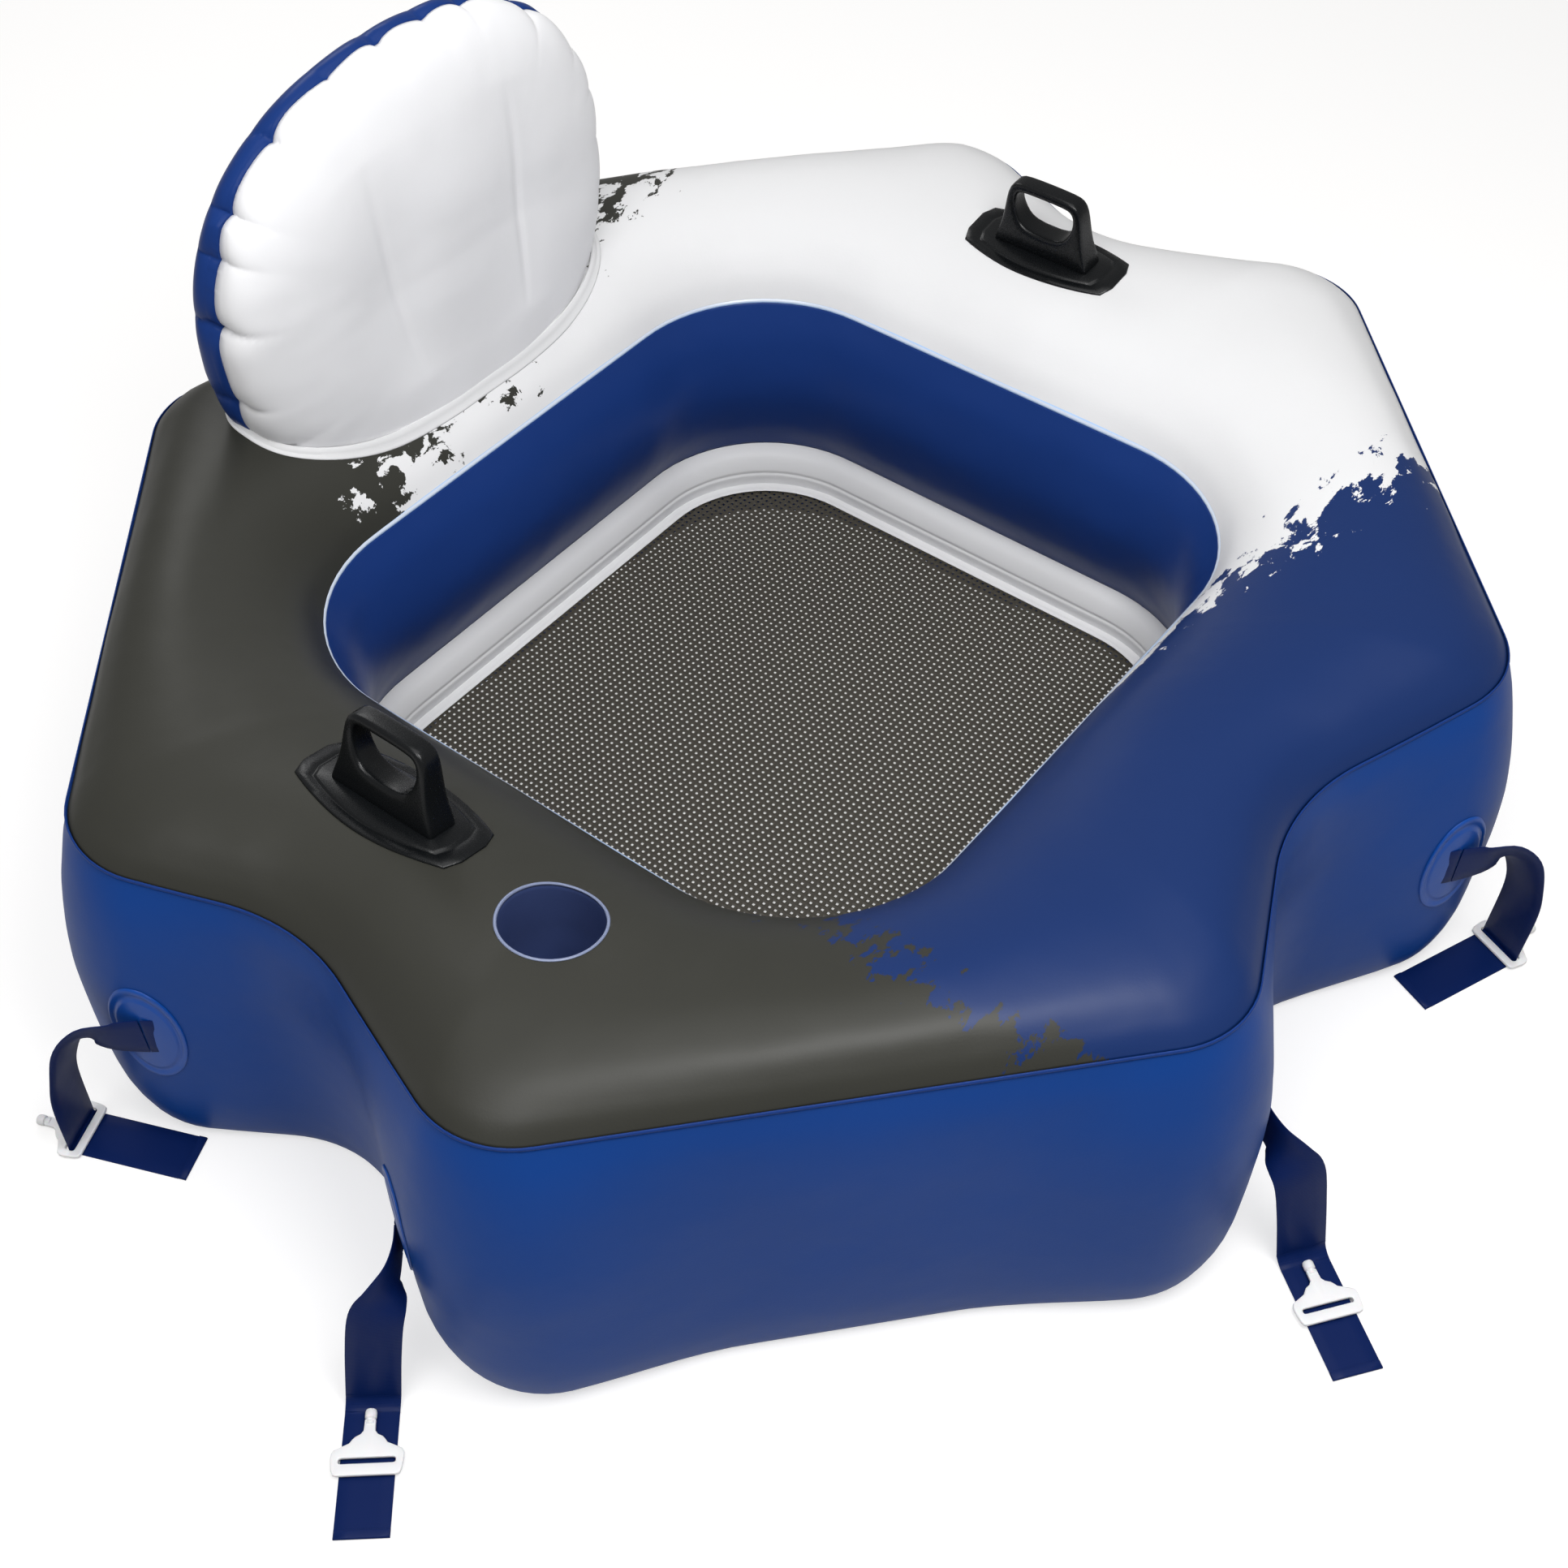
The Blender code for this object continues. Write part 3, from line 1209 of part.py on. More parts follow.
def add_keeper(buckle, name, standing, middle_z):
    """Give a buckle the flat loop under its plate that its strap lies in."""
    keeper = block((BUCKLE_HALF_WIDTH * 2.0 * KEEPER_WIDTH_SHARE, KEEPER_DEPTH, middle_z), 0.0, standing)
    boolean(buckle, add_cutter("buckle_keeper_shape_" + name, keeper), "UNION")
    height = STRAP_THICKNESS + FIT_GAP * 2.0
    tunnel = block((STRAP_WIDTH + KEEPER_CLEARANCE * 2.0, BUCKLE_DEPTH, height), KEEPER_BAR, standing)
    boolean(buckle, add_cutter("buckle_tunnel_cutter_" + name, tunnel), "DIFFERENCE")


# Valves


def tube_valve_place():
    """Middle of the tube valve on the back left flat wall, and its outward direction."""
    side = Vector((SIDE_CORNER_BACK_X, SIDE_CORNER_BACK_Y))
    back = Vector((BACK_CORNER_X, BACK_CORNER_Y))
    along = (back - side).normalized()
    outward = Vector((along.y, -along.x))
    outward = raised(outward, 0.0)
    place, _ = wall_point(mix(side, back, 0.5), TUBE_VALVE_Z, outward)
    return place, outward


def back_valve_place():
    """Middle of the backrest valve on the back skin, and its outward direction."""
    tree = search_tree(back_skin(1.0))
    outward = Vector((0.0, 1.0, 0.0))
    middle = Vector((0.0, BACK_VALVE_Z))
    furthest = 0.0
    for point in [middle] + circle_outline(middle, VALVE_FLANGE_RADIUS, VALVE_SIDES):
        hit, _, _, _ = tree.ray_cast(Vector((point.x, CAST_REACH, point.y)), -outward)
        furthest = max(furthest, hit.y)
    return Vector((0.0, furthest, BACK_VALVE_Z)), outward


def build_valve(prefix, place, outward):
    """Flanged valve body and its push-in plug."""
    clear = material("pale_weld", PALE_CLEAR, 0.3)
    flange_top = FIT_GAP + VALVE_FLANGE_THICKNESS
    inner_end = flange_top - VALVE_DEPTH
    body = tube_of(((VALVE_BORE_RADIUS, inner_end), (VALVE_TUBE_RADIUS, inner_end),
                    (VALVE_TUBE_RADIUS, FIT_GAP), (VALVE_FLANGE_RADIUS, FIT_GAP),
                    (VALVE_FLANGE_RADIUS, flange_top), (VALVE_BORE_RADIUS, flange_top)), VALVE_SIDES)
    stem = VALVE_BORE_RADIUS - PLUG_STEM_CLEARANCE
    cap_low = flange_top + FIT_GAP
    cap_high = cap_low + PLUG_CAP_THICKNESS
    plug = turned(((0.0, cap_low - PLUG_STEM_LENGTH), (stem, cap_low - PLUG_STEM_LENGTH), (stem, cap_low),
                   (PLUG_CAP_RADIUS, cap_low), (PLUG_CAP_RADIUS, cap_high), (0.0, cap_high)), VALVE_SIDES)
    seat = facing_matrix(place, outward)
    for name, bm in ((prefix + "_body", body), (prefix + "_plug", plug)):
        bmesh.ops.transform(bm, matrix=seat, verts=bm.verts)
        smooth(add_object(name, bm, clear, place))


SURFACE = search_tree(top_face(0.0))
WALL_SURFACE = search_tree(wall_face(0.0))


def main():
    """Build every piece of the lounger."""
    clear_scene()
    build_tube()
    build_seat()
    build_cup(top_region("cup_mouth_cutter", 0.0, PRISM_HIGH + OVERRUN))
    build_handles()
    build_backrest()
    build_straps()
    build_valve("tube_valve", *tube_valve_place())
    build_valve("backrest_valve", *back_valve_place())


main()
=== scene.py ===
"""Inflatable pool lounger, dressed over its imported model.

Lengths are in metres. The floor is z = 0 and the sitter faces -Y, with the cup recess on their right at -X.
"""
import json
import math

import bmesh
import bpy
from mathutils import Matrix, Vector, noise
from mathutils.bvhtree import BVHTree


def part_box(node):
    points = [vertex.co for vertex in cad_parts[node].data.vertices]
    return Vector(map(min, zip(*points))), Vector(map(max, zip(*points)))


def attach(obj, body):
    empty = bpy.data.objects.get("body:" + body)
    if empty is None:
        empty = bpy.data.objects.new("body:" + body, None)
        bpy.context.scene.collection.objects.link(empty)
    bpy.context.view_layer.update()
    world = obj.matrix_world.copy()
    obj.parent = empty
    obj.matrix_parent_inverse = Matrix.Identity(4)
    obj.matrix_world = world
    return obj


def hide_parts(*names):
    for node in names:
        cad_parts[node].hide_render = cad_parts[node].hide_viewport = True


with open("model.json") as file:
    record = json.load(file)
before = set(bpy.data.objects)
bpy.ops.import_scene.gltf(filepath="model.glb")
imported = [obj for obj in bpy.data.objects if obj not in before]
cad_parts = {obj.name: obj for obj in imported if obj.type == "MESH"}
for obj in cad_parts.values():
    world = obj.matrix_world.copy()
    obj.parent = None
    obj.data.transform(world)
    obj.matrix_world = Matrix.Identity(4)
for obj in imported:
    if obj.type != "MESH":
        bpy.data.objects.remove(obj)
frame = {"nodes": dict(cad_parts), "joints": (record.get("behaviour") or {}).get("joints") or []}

bl_info = {
    "name": "Inflatable pool lounger",
    "version": (1, 0, 0),
    "blender": (4, 5, 0),
    "location": "View3D > Sidebar > Lounger",
    "description": "Builds an inflatable pool lounger with a mesh seat, a scalloped backrest and buckled straps",
    "category": "Object",
}

UP = Vector((0.0, 0.0, 1.0))
FULL_TURN = 2.0 * math.pi
FIT_GAP = 0.0003

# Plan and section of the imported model, which the panels here follow more finely
STAND = Vector((0.0, 0.0163, 0.0))
SIDE_WAIST = Vector((0.562, 0.022))
SIDE_CORNER_FRONT = Vector((0.6486, -0.2184))
SIDE_CORNER_BACK = Vector((0.6401, 0.2095))
FRONT_WAIST = Vector((0.0, -0.508))
FRONT_CORNER = Vector((0.2272, -0.6027))
BACK_WAIST = Vector((0.0, 0.532))
BACK_CORNER = Vector((0.2188, 0.5696))
WAIST_ROUNDING = (0.18, 14)
CORNER_ROUNDING = (0.083, 12)
STATION_STEP = 0.022
OPENING_HALF = Vector((0.344, 0.320))
OPENING_RADIUS = 0.15
TOP_SEAM_Z = 0.347
WAIST_DROP = 0.013
WAIST_DROP_SPAN = 0.20
INNER_SEAM_Z = 0.301
CROWN_RISE = 0.052
WALL_BULGE = 0.013
CORNER_SPREAD = 0.022
WAIST_TUCK = 0.010
SPREAD_REACH = 0.20
INNER_BULGE = 0.026
RING_TOP_Z = 0.115
RING_IN = 0.018
RING_SWELL = 0.008
BOTTOM_SEAM_Z = 0.004
BOTTOM_FLAT_IN = 0.028
HEM_Z = 0.072
MESH_EDGE_IN = 0.022
MESH_DROP = 0.0018
MESH_THICKNESS = 0.0008

# Rows of the panels: share of the way across or up, share of the swell and, for the wall, of the spread
TOP_ROWS = ((1.0, 0.0), (0.94, 0.34), (0.82, 0.74), (0.62, 1.0), (0.38, 1.0), (0.20, 0.80), (0.07, 0.42),
            (0.0, 0.0))
WALL_ROWS = ((0.0, -0.1, 0.72), (0.05, 0.38, 0.88), (0.16, 0.82, 1.0), (0.31, 1.0, 1.0), (0.56, 1.0, 1.0),
             (0.75, 0.95, 0.62), (0.90, 0.62, 0.22), (1.0, 0.0, 0.0))
INNER_ROWS = ((1.0, 0.0), (0.78, 0.66), (0.5, 1.0), (0.22, 0.66), (0.0, 0.0))
RING_ROWS = ((0.0, 0.0), (0.30, 0.95), (0.68, 0.95), (1.0, 0.0))
GROOVE_PLACE, GROOVE_WIDTH = 0.70, 0.035
# Hem under the mesh: distance in from the opening, and drop. Bottom sheet: share of the way out, and height
HEM_ROWS = ((0.0215, 0.0), (0.0235, 0.0006), (0.0255, 0.0), (0.0292, 0.0), (0.0300, 0.0005))
BOTTOM_ROWS = ((0.0, HEM_Z - 0.0020), (0.10, 0.020), (0.24, 0.0035), (0.42, 0.0), (1.0, 0.0))
# Weld round the opening: share of half its width inwards, and rise; it rises with the top sheet outside
WELD_ROWS = ((-1.0, 0.0004), (-0.8, 0.0011), (-0.3, 0.0013), (0.0, 0.0010), (0.25, 0.0002), (0.30, -0.0012),
             (0.1, -0.0022))
WELD_SLOPE = 0.9
OUTER_WELD = (0.0004, 0.0011, 0.0013)

# Waves and folds of the sheets: rates per metre, and how far the folds run from a weld
WAVE_RATES = (9.0, 21.0)
WAVE_SHIFT = Vector((7.0, 3.0, 1.0))
FOLD_RATE = 62.0
FOLD_REACH = 0.014
FOLD_START = 0.003
TOP_FADE = 0.02
TOP_SEAM_FADE = 0.03
TOP_INNER_ZONE = 0.12
WALL_WAVE_TOP = 0.94
WALL_WAVE_FADE = 0.08
WALL_FOLD_TOP = 0.95
WALL_FOLD_HEIGHT = 0.34
WALL_PUCKER = 1.6
WELL_WAVE_RATE = 1.2
WELL_WAVE_FADE = 0.15

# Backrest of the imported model; -1 is its front and 1 its back
BACK_MID_Y = 0.440 + STAND.y
BACK_LEAN = math.radians(-3.0)
BASE_DEPTHS = {-1.0: 0.085, 1.0: 0.074}
MID_DEPTHS = {-1.0: 0.074, 1.0: 0.072}
BACK_ROUNDNESS = 2.6
BACK_HALF_WIDTH = 0.232
BACK_WIDEST_Z = 0.470
BACK_TOP_Z = 0.680
BACK_FOOT_Z = 0.325
BACK_FOOT_RADIUS = 0.200
SEAM_ROUNDNESS = 2.35
SHOULDER_ANGLE = math.radians(32.0)
FOOT_ANGLE = -math.asin(((BACK_WIDEST_Z - BACK_FOOT_Z) / BACK_FOOT_RADIUS) ** (SEAM_ROUNDNESS / 2.0))
SEAM_HALF_GAP = 0.00045
SKIN_GRID = (200, 130)
SKIN_THICKNESS = 0.0006
BAND_SWELL = 0.011
BAND_SHARES = {-1.0: 0.60, 1.0: 1.0}
NOTCH_REACH = {-1.0: 0.010, 1.0: 0.006}
CREASE_SHARES = {-1.0: 1.0, 1.0: 0.35}
LOBE_WIDTH = 0.007
CREASE_REACH = 0.026
SLACK_REACH = 0.040
CHANNEL_SHARE = 0.30
CHANNEL_ENDS = (0.22, 0.80)
# Width and share of the depth of a channel's soft hollow and of its sharp line
CHANNEL_PARTS = ((0.036, 0.70), (0.0040, 0.30))
FOOT_UP = 0.22
FOOT_STEPS = 75
LIP_SPREAD = 1.028
# Lip at the foot: share of its width outwards, and rise from the top sheet
LIP_ROWS = ((-0.125, 0.0006), (-0.075, 0.0046), (0.10, 0.0060), (0.34, 0.0058), (0.55, 0.0040), (0.66, 0.0022),
            (0.95, 0.0018), (1.08, 0.0010), (1.12, 0.0003))

# Cup recess: growth of the radius, drop from the mouth and share of the depth; weld: growth and rise
CUP_CENTRE = Vector((-0.466, -0.149 + STAND.y))
CUP_RADIUS = 0.0405
CUP_HOLE = CUP_RADIUS + 0.0012
CUP_DEPTH = 0.1038
CUP_SIDES = 72
CUP_ROWS = ((0.0012, -0.0003, 0.0), (0.0, 0.0010, 0.0), (-0.0004, 0.0, 0.06), (-0.0002, 0.0, 0.5),
            (-0.0004, 0.0, 0.93), (-0.0024, 0.0, 0.985), (-0.0070, 0.0, 1.0), (-0.02025, 0.0, 1.0),
            (-0.03726, 0.0, 1.0))
CUP_WELD_ROWS = ((-0.0005, -0.0012), (-0.0004, 0.0004), (0.0002, 0.0011), (0.0010, 0.0012), (0.0018, 0.0008),
                 (0.0023, 0.0002))

# Handles: pad rows of scale and share of the thickness; half outlines of the grip and its opening, to its foot
HANDLE_MIDDLES = {"right": Vector((-0.453, 0.027 + STAND.y)), "left": Vector((0.473, 0.027 + STAND.y))}
PAD_HALF_LENGTH = 0.0875
PAD_HALF_WIDTHS = (0.041, 0.024)
PAD_STEPS = 24
PAD_LENGTH_SHARE = 0.85
PAD_ROWS = ((1.0, 0.0), (0.995, 0.6), (0.975, 0.95), (0.83, 1.0), (0.805, 0.72), (0.785, 0.75), (0.765, 1.25),
            (0.74, 1.45), (0.4, 1.5), (0.05, 1.5))
GRIP_OUTER = ((-0.0550, -0.002), (-0.0520, 0.010), (-0.0470, 0.024), (-0.0445, 0.042), (-0.0425, 0.060),
              (-0.0370, 0.0695), (-0.0280, 0.0720), (0.0, 0.0725))
GRIP_INNER = ((-0.0200, 0.0225), (-0.0270, 0.0285), (-0.0322, 0.0390), (-0.0338, 0.0480), (-0.0332, 0.0560),
              (-0.0302, 0.0610), (-0.0240, 0.0627), (0.0, 0.0630))
GRIP_FEET = (-0.002, 0.0205)
GRIP_HEIGHT = 0.072
GRIP_HALF_DEPTHS = (0.0150, 0.0095)
GRIP_TAPER = 0.7
GRIP_EDGE = 0.0037
RIM_ANGLE = math.radians(60.0)

# Straps. Rows: shares of the reach, the run along the wall, the root's height and the turn of the width
PATCH_Z = 0.170
PATCH_HALF = (0.033, 0.058)
PATCH_SIDES = 64
PATCH_ROWS = ((1.0, 0.0), (0.985, 0.8), (0.96, 1.0), (0.90, 0.9), (0.87, 0.35), (0.80, 0.35), (0.77, 0.85),
              (0.72, 0.98), (0.3, 0.98), (0.04, 0.98))
KEEPER_BAR = 0.0012
SLOT_HEIGHT = 0.0090
STRAP_STYLES = {
    "bow": {"rows": ((0.0, 0.0, 1.0, 0.0), (0.30, 0.24, 1.0, 0.07), (0.62, 0.44, 1.03, 0.28),
                     (0.90, 0.60, 0.97, 0.60), (1.0, 0.74, 0.78, 0.90), (0.90, 0.86, 0.54, 1.0), (0.45, 1.0, 0.09, 1.0)),
            "inset": 0.048, "reach": 0.022, "run": 0.096, "root_z": 0.172, "bend": SLOT_HEIGHT / 2.0,
            "tail": 0.105, "tail_turn": math.radians(-90.0), "lift": 0.0, "slot": SLOT_HEIGHT},
    "hang": {"rows": ((0.0, 0.0, 1.0, 0.0), (0.09, 0.16, 1.0, 0.0), (0.20, 0.30, 0.99, 0.05),
                      (0.34, 0.40, 0.93, 0.28), (0.48, 0.45, 0.80, 0.70), (0.59, 0.47, 0.50, 1.0), (0.70, 0.50, 0.12, 1.0)),
             "inset": 0.085, "reach": 0.086, "run": 0.082, "root_z": 0.140, "bend": 0.013,
             "tail": 0.107, "tail_turn": math.radians(60.0), "lift": KEEPER_BAR, "slot": 0.0048},
}
STRAP_ROWS = 92
BEND_STEPS = 5
HEM = 0.008
# Turned-over end: distance along it and thickness; welded end: share of its length back and thickness
HEM_FOLDS = ((0.0006, 1.0), (0.0010, 2.5), (HEM - 0.0010, 2.6), (HEM - 0.0003, 2.0), (HEM, 1.0))
TAB_LENGTH = 0.012
TAB_ROWS = ((1.0, 0.4), (0.94, 0.8), (0.5, 1.0), (0.17, 1.0), (0.12, 0.5))
BAND_SECTION = ((-0.975, -1.0), (-0.5, -1.0), (0.0, -1.0), (0.5, -1.0), (0.975, -1.0), (1.0, -0.5), (1.0, 0.5),
                (0.975, 1.0), (0.5, 1.0), (0.0, 1.0), (-0.5, 1.0), (-0.975, 1.0), (-1.0, 0.5), (-1.0, -0.5))

# Buckle: half outlines in shares, turned profile of the knob, and the levels at which it sits
BUCKLE_OUTLINE = ((0.80, 0.0), (0.90, 0.02), (0.955, 0.09), (1.0, 0.30), (0.985, 0.40), (0.93, 0.46), (0.70, 0.525),
                  (0.52, 0.575), (0.46, 0.63), (0.38, 0.685), (0.24, 0.73), (0.165, 0.79), (0.155, 0.90),
                  (0.155, 1.0))
SLOT_OUTLINE = ((0.5, -1.0), (0.90, -1.0), (0.97, -0.85), (1.0, -0.5), (1.0, 0.3), (0.98, 0.7), (0.92, 0.95),
                (0.80, 1.0), (0.62, 1.0), (0.46, 1.0), (0.32, 1.0), (0.18, 1.0), (0.08, 1.0), (0.03, 1.0))
BUCKLE_HALF_WIDTH = 0.029
BUCKLE_BACK = -0.012
BUCKLE_LENGTH = 0.046
SLOT_HALF_WIDTH = 0.0225
KNOB = ((0.0, 0.030), (0.0034, 0.030), (0.0036, 0.0322), (0.0030, 0.0328), (0.0030, 0.0342), (0.0046, 0.0350),
        (0.0048, 0.0362), (0.0048, 0.0400), (0.0042, 0.0416), (0.0026, 0.0426), (0.0, 0.0428))
KEEPER_SIZE = (0.050, 0.010)
KEEPER_POST = (0.0022, 0.0239)
BOW_BUCKLE_LEVEL = 0.0030
HANG_BUCKLE_LEVEL = 0.0046
HANG_BUCKLE_OUT = 0.047
BUCKLE_EDGE = 0.0010

# Turned profiles of the valves: radius, and height from the flange's foot
VALVE_DEPTH = 0.018
VALVE_TOP = FIT_GAP + 0.0016
VALVE_CAP = VALVE_TOP + FIT_GAP
FLANGE = ((0.0080, VALVE_TOP - VALVE_DEPTH), (0.0105, VALVE_TOP - VALVE_DEPTH), (0.0105, FIT_GAP),
          (0.0187, FIT_GAP), (0.0190, FIT_GAP + 0.0004), (0.0186, FIT_GAP + 0.0010), (0.0150, VALVE_TOP), (0.0096, VALVE_TOP),
          (0.0088, VALVE_TOP + 0.0002), (0.0080, VALVE_TOP - 0.0006), (0.0080, VALVE_TOP - VALVE_DEPTH))
STOPPER = ((0.0, VALVE_CAP - 0.010), (0.0070, VALVE_CAP - 0.010), (0.0078, VALVE_CAP - 0.009), (0.0078, VALVE_CAP),
           (0.0122, VALVE_CAP), (0.0125, VALVE_CAP + 0.0006), (0.0122, VALVE_CAP + 0.0020),
           (0.0114, VALVE_CAP + 0.0024), (0.0090, VALVE_CAP + 0.0022), (0.0078, VALVE_CAP + 0.0016),
           (0.0, VALVE_CAP + 0.0016))


def linear(code):
    """Linear colour of an sRGB hex code."""
    shares = [int(code[start:start + 2], 16) / 255.0 for start in (0, 2, 4)]
    return tuple(share / 12.92 if share <= 0.04045 else ((share + 0.055) / 1.055) ** 2.4 for share in shares)


def length(name, default, description):
    """Property that holds a small length."""
    return bpy.props.FloatProperty(name=name, description=description, default=default, min=0.0, unit="LENGTH")


def colour(name, code, description):
    """Property that holds a colour."""
    return bpy.props.FloatVectorProperty(name=name, description=description, default=linear(code),
                                         subtype="COLOR", min=0.0, max=1.0)


class LOUNGER_PG_tube(bpy.types.PropertyGroup):
    """Sizes of the welded air tube and its seat."""
    sheet: length("Sheet thickness", 0.0006, "Thickness of the PVC sheet")
    wave: length("Wave height", 0.0011, "Height of the slow waves in the filled panels")
    pucker: length("Pucker height", 0.0007, "Height of the small folds beside the welds")
    weld_width: length("Weld width", 0.0054, "Width of the weld round the seat opening")
    groove: length("Ring groove", 0.0016, "Depth of the groove in the seat ring")
    mesh_pitch: length("Mesh pitch", 0.0068, "Distance between the holes of the seat mesh")
    mesh_strand: length("Mesh strand", 0.0040, "Width of the strands between the holes")
    mesh_sag: length("Mesh sag", 0.0030, "How far the middle of the mesh hangs")


class LOUNGER_PG_backrest(bpy.types.PropertyGroup):
    """Sizes of the backrest's folds."""
    scallop: length("Scallop pitch", 0.062, "Mean distance between the notches along the edge seam")
    notch: length("Notch depth", 0.0120, "How far the seam is drawn inwards at a notch")
    crease: length("Crease depth", 0.0030, "Depth of the folds that run in from the notches")
    channel: length("Channel depth", 0.0072, "Depth of the two upright tension channels")
    lip: length("Lip width", 0.0080, "Width of the welded lip round the base")


class LOUNGER_PG_fittings(bpy.types.PropertyGroup):
    """Sizes of the handles, straps and buckles."""
    pad: length("Pad thickness", 0.0022, "Thickness of the handles' welded pads")
    patch: length("Patch thickness", 0.0018, "Thickness of the strap patches")
    strap_width: length("Strap width", 0.044, "Width of the webbing")
    strap_thickness: length("Strap thickness", 0.0012, "Thickness of the webbing")
    buckle: length("Buckle thickness", 0.0036, "Thickness of the buckles' plates")


class LOUNGER_PG_colours(bpy.types.PropertyGroup):
    """Colours of the sheets and fittings."""
    charcoal: colour("Charcoal print", "30302B", "Printed zone on the sitter's right")
    navy_print: colour("Navy print", "0E2A5E", "Printed zone at the front")
    white: colour("White sheet", "DEDEDF", "Unprinted top sheet and seat ring")
    backrest: colour("Bright white sheet", "F6F6F8", "Front of the backrest")
    royal: colour("Royal blue sheet", "083E8A", "Outer wall")
    patch: colour("Patch sheet", "0C479B", "Strap patches")
    # This navy is also drawn on the outer weld as painted shade: that bead is of the royal blue wall sheet, darkened
    # into the line of shade along the top seam.
    navy: colour("Navy sheet", "1B3878", "Well wall, outer weld and backrest back")
    weld: colour("Weld", "A9C6EC", "Pale blue lines of the weld")
    # Painted light: the cup sleeve is of the navy sheet, drawn lighter and greyer for the light seen inside the
    # recess.
    cup: colour("Cup sleeve", "3C4A76", "Lining of the cup recess")
    cup_weld: colour("Cup weld", "7F89A6", "Weld round the cup's mouth")
    mesh: colour("Seat mesh", "38342B", "Coated mesh of the seat")
    black: colour("Black mouldings", "0B0D0F", "Handles and their pads")
    webbing: colour("Webbing", "0A1F52", "Straps")
    plastic: colour("White mouldings", "EDEDED", "Buckles")
    valve: colour("Valves", "C9D6E8", "Valve flanges and stoppers")


# Shapes


def mix(start, end, share):
    """Value or vector at a share of the way from start to end."""
    return start + (end - start) * share


def clamped(value):
    """Value kept between 0 and 1."""
    return min(1.0, max(0.0, value))


def raised(point, height):
    """Plan point at a height."""
    return Vector((point[0], point[1], height))


def mirrored(point):
    """Plan point on the other side of the lounger."""
    return Vector((-point[0], point[1]))


def smoothed(rows, count):
    """Rows of numbers or vectors turned into count rows on a smooth line through them."""
    made = []
    for step in range(count):
        place = step * (len(rows) - 1) / (count - 1)
        index = min(int(place), len(rows) - 2)
        share = place - index
        before, start, end, after = (rows[min(max(index + shift, 0), len(rows) - 1)] for shift in (-1, 0, 1, 2))
        made.append(tuple(
            0.5 * (2.0 * b + (c - a) * share + (2.0 * a - 5.0 * b + 4.0 * c - d) * share ** 2
                   + (3.0 * b - a - 3.0 * c + d) * share ** 3)
            for a, b, c, d in zip(before, start, end, after)))
    return made


def closed_loop(bm, points):
    """Loop through points, from a circle: its corners, and its edges in order."""
    verts = bmesh.ops.create_circle(bm, segments=len(points), radius=1.0)["verts"]
    for vert, point in zip(verts, points):
        vert.co = point
    return verts, [bm.edges.get((verts[index - 1], verts[index])) for index in range(len(verts))]


def only_verts(geom):
    """The corners among some geometry."""
    return [item for item in geom if isinstance(item, bmesh.types.BMVert)]


def loft(rings):
    """Skin through closed rings of points, grown from the first by extruding its open edge, with a UV map."""
    bm = bmesh.new()
    count = len(rings[0])
    loop, edges = closed_loop(bm, rings[0])
    layer = bm.loops.layers.uv.new("UVMap")
    for row, ring in enumerate(rings[1:]):
        fresh = set(only_verts(bmesh.ops.extrude_edge_only(bm, edges=edges)["geom"]))
        above = [next(edge.other_vert(vert) for edge in vert.link_edges if edge.other_vert(vert) in fresh)
                 for vert in loop]
        for vert, point in zip(above, ring):
            vert.co = point
        for index in range(count):
            after = (index + 1) % count
            face = bm.faces.get((loop[index], loop[after], above[after], above[index]))
            places = {loop[index]: (index, row), loop[after]: (index + 1, row),
                      above[after]: (index + 1, row + 1), above[index]: (index, row + 1)}
            for corner in face.loops:
                column, level = places[corner.vert]
                corner[layer].uv = (column / count, level / (len(rings) - 1))
        loop = above
        edges = [bm.edges.get((loop[index - 1], loop[index])) for index in range(count)]
    bm.normal_update()
    return bm


def face_from(bm, point, towards=False):
    """Turn an open skin so that its first face looks away from a point, or towards it."""
    bm.faces.ensure_lookup_table()
    first = bm.faces[0]
    away = first.normal.dot(first.calc_center_median() - point) >= 0.0
    if away == towards:
        bmesh.ops.reverse_faces(bm, faces=bm.faces)
    bm.normal_update()
    return bm


def close_ends(bm):
    """Close the open ends of a skin and turn it outwards."""
    bmesh.ops.holes_fill(bm, edges=[edge for edge in bm.edges if edge.is_boundary], sides=0)
    bmesh.ops.recalc_face_normals(bm, faces=bm.faces)
    return bm


def ripple(bm, height):
    """Move each point of a skin along its normal by a height worked out from the point."""
    shifts = [(vert, vert.normal * height(vert.co)) for vert in bm.verts]
    for vert, shift in shifts:
        vert.co += shift
    bm.normal_update()
    return bm


def cut_round_hole(bm, centre, radius, sides=48):
    """Cut an upright round hole through a skin, one side at a time."""
    inside = [face for face in bm.faces if (face.calc_center_median().xy - centre).length < radius * 2.0]
    for step in range(sides):
        turn = FULL_TURN * step / sides
        ray = Vector((math.cos(turn), math.sin(turn), 0.0))
        place = raised(centre, 0.0) + ray * radius
        geom = {item for face in inside for item in (face, *face.edges, *face.verts)}
        cut = bmesh.ops.bisect_plane(bm, geom=list(geom), dist=0.00001, plane_co=place, plane_no=ray)["geom"]
        inside = [face for face in cut if isinstance(face, bmesh.types.BMFace)
                  and (face.calc_center_median() - place).dot(ray) < 0.0]
    bmesh.ops.delete(bm, geom=inside, context="FACES")


def doubled_plate(outline, hole):
    """Plate between an outline and its hole, extruded in place, and the corners of its second layer."""
    bm = bmesh.new()
    bmesh.ops.bridge_loops(bm, edges=closed_loop(bm, outline)[1] + closed_loop(bm, hole)[1])
    return bm, only_verts(bmesh.ops.extrude_face_region(bm, geom=list(bm.faces))["geom"])


